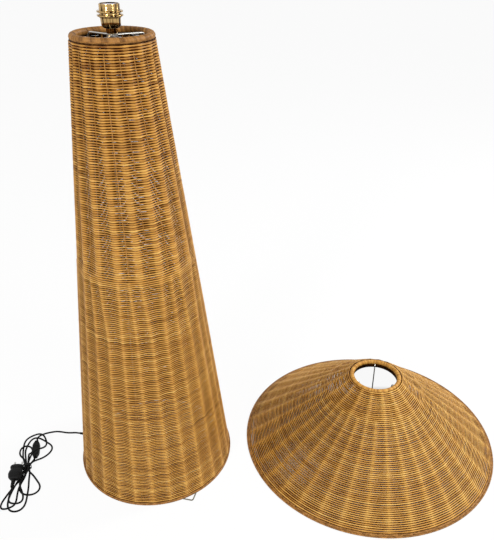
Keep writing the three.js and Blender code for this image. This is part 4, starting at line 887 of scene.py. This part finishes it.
def make_rim(name, parts, home, look, replaced):
    points, faces, facts = join_parts(parts)
    make_piece(name, points, faces, home, look, replaced, facts, SMOOTH)


def make_column_roll():
    """The roll wound round the column's top, and the tuck that closes it to the weave, darkened as painted
    shade under the roll.
    """
    centre, height = COLUMN_TOP - ROLL_RADIUS, COLUMN_HEIGHT - ROLL_RADIUS
    roll = rope(centre, height, ROLL_RADIUS, *COLUMN_WINDING, *ROLL_MESH)
    tuck = rope(COLUMN_TOP - TUCK_RADIUS, ROLL_FOOT + TUCK_RADIUS, TUCK_RADIUS, TUCK_TURNS, depth=TUCK_DEPTH)
    make_rim("column_top_roll", [roll, toned(tuck, -TUCK_SHADOW)], ON_COLUMN, BINDING, ["column_top_rim"])


def make_column_foot():
    """Four ropes plaited round the column's foot: two outside, two inside, and the body between them."""
    tube = RIM_HEIGHT / 4
    outer = COLUMN_BASE + RIM_LIP - tube
    inner = column.radius(BASE_HOOP_HEIGHT / column.rise, HOOP_DEEP) + WIRE + GAP + tube
    parts = [rope(outer, tube, tube, OUTER_TURNS), rope(outer, 3 * tube, tube, OUTER_TURNS, -1),
             rope(inner, 3 * tube, tube, INNER_TURNS, -1), rope(inner, tube, tube, INNER_TURNS)]
    low, high = CORE_INSET, RIM_HEIGHT - RIM_CORE
    parts.append(core([(inner, low), (outer, low), (outer, high), (inner, high)]))
    make_rim("column_base_ropes", parts, ON_COLUMN, BINDING, ["column_base_rim"])


def shade_roll_up():
    """How far up the shade's slant its top roll is centred."""
    return (SHADE_BASE - SHADE_HOLE - SHADE_ROLL) * shade.draw + (SHADE_HEIGHT - SHADE_ROLL) * shade.rise


def make_shade_roll():
    """The wound roll round the hole, the tuck that closes it to the weave, and the collar under it, tuck and
    collar darkened as painted shade.
    """
    top = SHADE_HEIGHT - SHADE_ROLL
    roll = rope(SHADE_HOLE + SHADE_ROLL, top, SHADE_ROLL, *SHADE_WINDING, *ROLL_MESH)
    seam = shade.at(shade_roll_up() - SHADE_ROLL, SEAM_DEEP, 0)
    tuck = rope(seam[0], seam[2], SEAM_RADIUS, TUCK_TURNS, depth=TUCK_DEPTH)
    inner, outer = SHADE_HOLE + COLLAR_INSET, SHADE_HOLE + COLLAR_INSET + COLLAR_THICK
    collar = core([(inner, top - COLLAR_HIGH), (outer, top - COLLAR_HIGH), (outer, top), (inner, top)])
    parts = [toned(roll, ROLL_PALER), toned(tuck, -TUCK_SHADOW), toned(collar, -COLLAR_SHADOW)]
    make_rim("shade_top_roll", parts, ON_SHADE, PALE_BINDING, ["shade_top_rim"])


def make_shade_edge():
    """Four ropes plaited along the shade's edge: two on the floor, one up the slant and one between."""
    tube = SHADE_RIM_RUN / 5
    edge, foot = shade.at(SHADE_RIM_RUN - tube, tube, 0), shade.at(2 * tube, tube, 0)
    between = (foot[0] + edge[0]) / 2, (max(foot[2], tube) + edge[2]) / 2
    parts = [rope(SHADE_BASE - tube - EDGE_INSET, tube, tube, EDGE_TURNS),
             rope(edge[0], edge[2], tube, BACK_TURNS, -1),
             rope(edge[0] - BACK_SHARE * tube, tube, tube, BACK_TURNS),
             rope(*between, tube * FILL_SHARE, FILL_TURNS, depth=TUCK_DEPTH)]
    make_rim("shade_base_ropes", parts, ON_SHADE, BINDING, ["shade_base_rim"])


# Wire frame
def leg_radius(height):
    hoop_sag = COLUMN_BASE * (1 - math.cos(math.pi / HOOP_SIDES))
    deep = HOOP_DEEP + WIRE + hoop_sag + GAP + WIRE
    return column.radius(height / column.rise, 0) - deep - column.draw * ROLL_RADIUS


def make_hoops():
    for name, height in HOOP_HEIGHTS:
        radius = column.radius(height / column.rise, HOOP_DEEP)
        turn = np.arange(HOOP_CORNERS) * TURN / HOOP_CORNERS
        section = [(radius + WIRE * math.cos(a), height + WIRE * math.sin(a)) for a in turn]
        lathe(name + "_wire", section, ON_COLUMN, STEEL, [name], HOOP_STEPS)


def make_legs():
    foot = BASE_HOOP_HEIGHT - WIRE
    for index, bearing in enumerate(LEG_BEARINGS, 1):
        start = polar(HUB_RADIUS + GAP, bearing, LEG_HEIGHT)
        corner = polar(leg_radius(LEG_HEIGHT), bearing, LEG_HEIGHT)
        end = polar(leg_radius(foot), bearing, foot)
        bend = rounded(start, corner, end, LEG_BEND, steps=10)
        line = [start, *bend, *np.linspace(corner, end, LEG_STOPS)[1:]]
        wire(f"leg_wire_{index}", line, WIRE, ON_COLUMN, STEEL, [f"frame_leg_{index}"])


def make_toe():
    """The bent wire foot that shows under the column's right side."""
    apex = polar(TOE_REACH, TOE_BEARING, TOE_WIRE)
    ends = [apex + polar(TOE_LEG, TOE_BEARING + CIRCLE / 2 + side * TOE_CORNER, 0) for side in (-1, 1)]
    line = [ends[0], *rounded(ends[0], apex, ends[1], TOE_BEND, steps=12), ends[1]]
    wire("toe", line, TOE_WIRE, ON_COLUMN, ZINC, ["wire_toe"], TOE_SIDES)


def chamfered(bore, radius, foot, top, edge):
    """A turned section with both outer corners taken off."""
    return [(bore, foot), (radius - edge, foot), (radius, foot + edge),
            (radius, top - edge), (radius - edge, top), (bore, top)]


def make_fitter():
    """The plate that fits the holder's lower ring, and the three wires that hold it in the shade."""
    top = SHADE_HEIGHT - FITTER_DROP
    plate = chamfered(SHELL_RADIUS + 2 * GAP, FITTER_RADIUS, top - FITTER_HIGH, top, FITTER_EDGE)
    lathe("fitter_plate", plate, ON_SHADE, STEEL, ["fitter_ring"])
    high, low = SHADE_HEIGHT - SPOKE_BELOW, top - FITTER_HIGH / 2
    dip = abs(high - (SHADE_HEIGHT - SHADE_ROLL))
    side = SHADE_HOLE + SHADE_ROLL - math.sqrt(SHADE_ROLL ** 2 - dip ** 2)
    for index, bearing in enumerate(SPOKE_BEARINGS, 1):
        start = polar(side - GAP, bearing, high)
        shoulder = polar(side - 4 * TOE_WIRE, bearing, high)
        elbow = polar(FITTER_RADIUS + 4 * TOE_WIRE, bearing, low)
        end = polar(FITTER_RADIUS + GAP, bearing, low)
        line = [start, *rounded(start, shoulder, elbow, 2 * TOE_WIRE, steps=6),
                *rounded(shoulder, elbow, end, 2 * TOE_WIRE, steps=6), end]
        wire(f"spoke_{index}", line, TOE_WIRE, ON_SHADE, STEEL, [f"fitter_spoke_{index}"])


# Bulb holder
def make_hub_and_boss():
    hub = chamfered(BORE, HUB_RADIUS, HUB_TOP - HUB_HEIGHT, HUB_TOP, TURNED_EDGE)
    lathe("hub_disc", hub, ON_COLUMN, STEEL, ["spider_hub"], HUB_STEPS)
    boss = chamfered(BORE, BOSS_RADIUS, BOSS_FOOT, BOSS_FOOT + BOSS_HEIGHT, TURNED_EDGE)
    lathe("boss_turned", boss, ON_COLUMN, BRASS, ["holder_boss"])


def mix(low, high, share):
    return low + (high - low) * share


def make_cap():
    """The flared cap: its outside up to the bead, then its inside down to the floor."""
    top, inside = CAP_FOOT + CAP_HEIGHT, CAP_WIDE - CAP_WALL
    bead = top - BEAD_HEIGHT
    section = [(BORE, CAP_FOOT), (CAP_NARROW, CAP_FOOT)]
    section += [(mix(CAP_NARROW, CAP_WIDE, out), CAP_FOOT + up * CAP_FLOOR) for out, up in CAP_FLARE]
    section += [
        (mix(CAP_NARROW, CAP_WIDE, CAP_NECK_OUT), mix(CAP_FOOT, bead, CAP_NECK_UP)),
        (CAP_WIDE - CAP_WALL / 4, mix(CAP_FOOT, bead, CAP_LIP_UP)), (CAP_WIDE, bead),
        (BEAD_RADIUS - BEAD_UNDER_IN, bead + BEAD_UNDER_UP), (BEAD_RADIUS, bead + BEAD_SWELL),
        (BEAD_RADIUS, top - BEAD_EDGE), (BEAD_RADIUS - BEAD_EDGE, top), (inside, top), (inside, bead),
        (inside - CAP_WALL, mix(CAP_FOOT, bead, CAP_INSIDE_UP)),
        (mix(CAP_NARROW, CAP_WIDE, CAP_INSIDE_OUT) - CAP_WALL, CAP_FOOT + 3 * CAP_FLOOR),
        (CAP_NARROW - CAP_WALL, CAP_FOOT + CAP_FLOOR), (BORE, CAP_FOOT + CAP_FLOOR),
    ]
    lathe("cap_turned", section, ON_COLUMN, BRASS, ["holder_cap"])


def make_shell():
    """The threaded shell: shallow ridges run round it above the cap."""
    top, inside, groove = SHELL_FOOT + SHELL_HEIGHT, SHELL_RADIUS - SHELL_WALL, SHELL_RADIUS - THREAD_DEPTH
    section = [(inside, SHELL_FOOT), (SHELL_RADIUS, SHELL_FOOT)]
    for index in range(int((SHELL_HEIGHT - THREAD_CLEAR) / THREAD_PITCH)):
        low = SHELL_FOOT + THREAD_START + index * THREAD_PITCH
        section += [(SHELL_RADIUS, low), (SHELL_RADIUS, low + THREAD_CREST),
                    (groove, low + THREAD_CREST + THREAD_FLANK), (groove, low + THREAD_PITCH - THREAD_FLANK)]
    section += [(SHELL_RADIUS, top - 2 * SHELL_WALL), (SHELL_RADIUS - SHELL_EDGE_IN, top - SHELL_EDGE_DOWN),
                (SHELL_RADIUS - SHELL_FACE, top), (SHELL_RADIUS - SHELL_LIP, top),
                (SHELL_RADIUS - SHELL_LIP, top - SHELL_WALL), (inside, top - 2 * SHELL_WALL)]
    lathe("shell_threaded", section, ON_COLUMN, BRASS, ["holder_shell"])


def make_ring(name, foot, body):
    bore, top, edge, rim = SHELL_RADIUS + GAP, foot + RING_HEIGHT, RING_HEIGHT / 5, RING_RADIUS - RING_EDGE
    section = [
        (bore, foot), (RING_RADIUS - edge, foot), (rim, foot + RING_EDGE), (RING_RADIUS, foot + edge),
        (RING_RADIUS, top - edge), (rim, top - RING_EDGE), (RING_RADIUS - edge, top),
        (bore + RING_COLLAR, top), (bore + RING_COLLAR / 2, top + edge), (bore, top + edge),
    ]
    lathe(name + "_turned", section, (COLUMN, body), BRASS, [name])


def make_insert():
    """The porcelain insert, stepped where the cap gives way to the shell."""
    base, step = CAP_FOOT + INSERT_FOOT, CAP_FOOT + CAP_HEIGHT + GAP
    top = SHELL_FOOT + SHELL_HEIGHT - 2 * SHELL_WALL - GAP
    outer, upper = CAP_WIDE - 3 * CAP_WALL + GAP, SHELL_RADIUS - SHELL_WALL - GAP
    bore, hole, pocket = upper - INSERT_WALL, CONTACT_RADIUS + GAP, SEAT - CONTACT_POCKET
    section = [
        (0, base), (outer - INSERT_WALL, base), (outer, base + INSERT_WALL), (outer, step), (upper, step),
        (upper, top - SHELL_WALL), (upper - INSERT_EDGE, top - INSERT_EDGE), (upper - SHELL_WALL, top),
        (bore + INSERT_LIP, top), (bore, top - INSERT_LIP), (bore, SEAT), (hole, SEAT),
        (hole, pocket), (0, pocket),
    ]
    lathe("socket_insert", section, ON_COLUMN, PORCELAIN, ["holder_insert"])


def make_liner():
    """The bulb's thread, as waves up a thin wall."""
    rise = np.linspace(0, 1, 8 * LINER_TURNS + 1)
    dips = LINER_WAVE * (1 - np.cos(rise * LINER_TURNS * TURN)) / 2
    outside = [(LINER_RADIUS - dip, SEAT + GAP + share * LINER_HEIGHT) for dip, share in zip(dips, rise)]
    inside = [(radius - LINER_WALL, height) for radius, height in reversed(outside)]
    lathe("bulb_thread", outside + inside, ON_COLUMN, NICKEL, ["screw_liner"])


def make_contact():
    foot = SEAT - CONTACT_POCKET + GAP + CONTACT_TRAVEL
    top = foot + CONTACT_HEIGHT
    section = [(0, foot), (CONTACT_RADIUS, foot), (CONTACT_RADIUS, top - LINER_WALL),
               (CONTACT_RADIUS - LINER_WALL, top), (CONTACT_RADIUS / 2, top + CONTACT_DOME),
               (0, top + LINER_WALL)]
    lathe("contact_button", section, (COLUMN, "contact"), BRASS, ["centre_contact"], CONTACT_STEPS)


# Kept solids take a finish on their own slots
KEPT = (
    (("switch_base", "switch_cover", "switch_rocker"), PLASTIC),
    (("plug_body", "plug_boot", "cord_clip_1", "cord_clip_2"), PLASTIC),
    (("hub_nut", "holder_lock_nut"), STEEL),
    (("threaded_nipple",), BRASS),
    (("plug_pin_left", "plug_pin_right"), NICKEL),
)


def finish_kept_solids():
    for names, (_, material) in KEPT:
        for name in names:
            slots = nodes[name].data.materials
            for index in range(len(slots)):
                slots[index] = material


# Floor and light, in metres: the floor is white where it is open, and keeps the shadow under the lamp
WHITE, FLOOR_TINT = (1, 1, 1, 1), colour(244, 244, 244)
FLOOR_HALF, FLOOR_GLOW, ROOM_LIGHT = 30, 0.93, 0.4
UNDER_COLUMN, UNDER_SHADE, BEHIND_SHADE = (0.19, 0.2), (0.33, 0.35), (0.17, 0.22)
AIM, SHADE_AIM = (-0.1, 0, 0.4), (0.25, 0, 0.1)

# Lamps as name, place, aim, size and power
LAMPS = (
    ("key", (-2.3, -4.2, 3), AIM, 1.3, 150),
    ("fill", (3.2, -3, 2.6), AIM, 1.5, 85),
    ("side", (2.4, 1.2, 2.4), SHADE_AIM, 0.8, 75),
)


def make_floor():
    made = Nodes(bpy.data.materials.new("floor"))
    diffuse = made.make("ShaderNodeBsdfDiffuse", {"Color": FLOOR_TINT})
    white = made.make("ShaderNodeEmission", {"Color": WHITE, "Strength": 1})
    place = made.make("ShaderNodeNewGeometry").outputs["Position"]
    covers = []
    for centre, reach in ((COLUMN, UNDER_COLUMN), (SHADE, UNDER_SHADE)):
        away = made.make("ShaderNodeVectorMath", {0: place, 1: centre * MM}, operation="DISTANCE")
        covers.append(made.spread(away.outputs["Value"], *reach, 1, 0))
    behind = made.make("ShaderNodeSeparateXYZ", {"Vector": place}).outputs["Y"]
    under_shade = made.math("MULTIPLY", covers[1], made.spread(behind, *BEHIND_SHADE, 1, 0))
    clear = made.spread(made.math("MAXIMUM", covers[0], under_shade), 0, 1, FLOOR_GLOW, 0)
    seen = made.math("MULTIPLY", made.shown(), clear)
    sides = {"Fac": seen, 1: diffuse.outputs["BSDF"], 2: white.outputs["Emission"]}
    blend = made.make("ShaderNodeMixShader", sides)
    made.tree.links.new(blend.outputs["Shader"], made.tree.nodes["Material Output"].inputs["Surface"])
    mesh = bpy.data.meshes.new("floor")
    corners = [(x * FLOOR_HALF, y * FLOOR_HALF, 0) for x, y in ((-1, -1), (1, -1), (1, 1), (-1, 1))]
    mesh.from_pydata(corners, [], [(0, 1, 2, 3)])
    mesh.materials.append(made.owner)
    floor = add_object("floor", mesh)


def make_world():
    world = bpy.data.worlds.new("room")
    bpy.context.scene.world = world
    made = Nodes(world)
    back = made.tree.nodes["Background"]
    back.inputs["Color"].default_value = WHITE
    made.tree.links.new(made.spread(made.shown(), 0, 1, ROOM_LIGHT, 1), back.inputs["Strength"])


def make_lamp(name, place, aim, size, power):
    data = bpy.data.lights.new(name, "AREA")
    data.shape = "DISK"
    data.size = size
    data.energy = power
    lamp = add_object(name, data)
    lamp.location = place
    lamp.rotation_euler = (Vector(aim) - Vector(place)).to_track_quat("-Z", "Y").to_euler()


make_camera()
make_cords()
make_column_weave()
make_shade_weave()
make_column_roll()
make_column_foot()
make_shade_roll()
make_shade_edge()
make_hoops()
make_legs()
make_toe()
make_fitter()
make_hub_and_boss()
make_cap()
make_shell()
make_ring("lower_shade_ring", SHELL_FOOT, "lower_ring")
make_ring("upper_shade_ring", SHELL_FOOT + RING_SPACING, "upper_ring")
make_insert()
make_liner()
make_contact()
finish_kept_solids()
make_floor()
make_world()
for lamp in LAMPS:
    make_lamp(*lamp)

bpy.context.scene.view_settings.view_transform = "Standard"
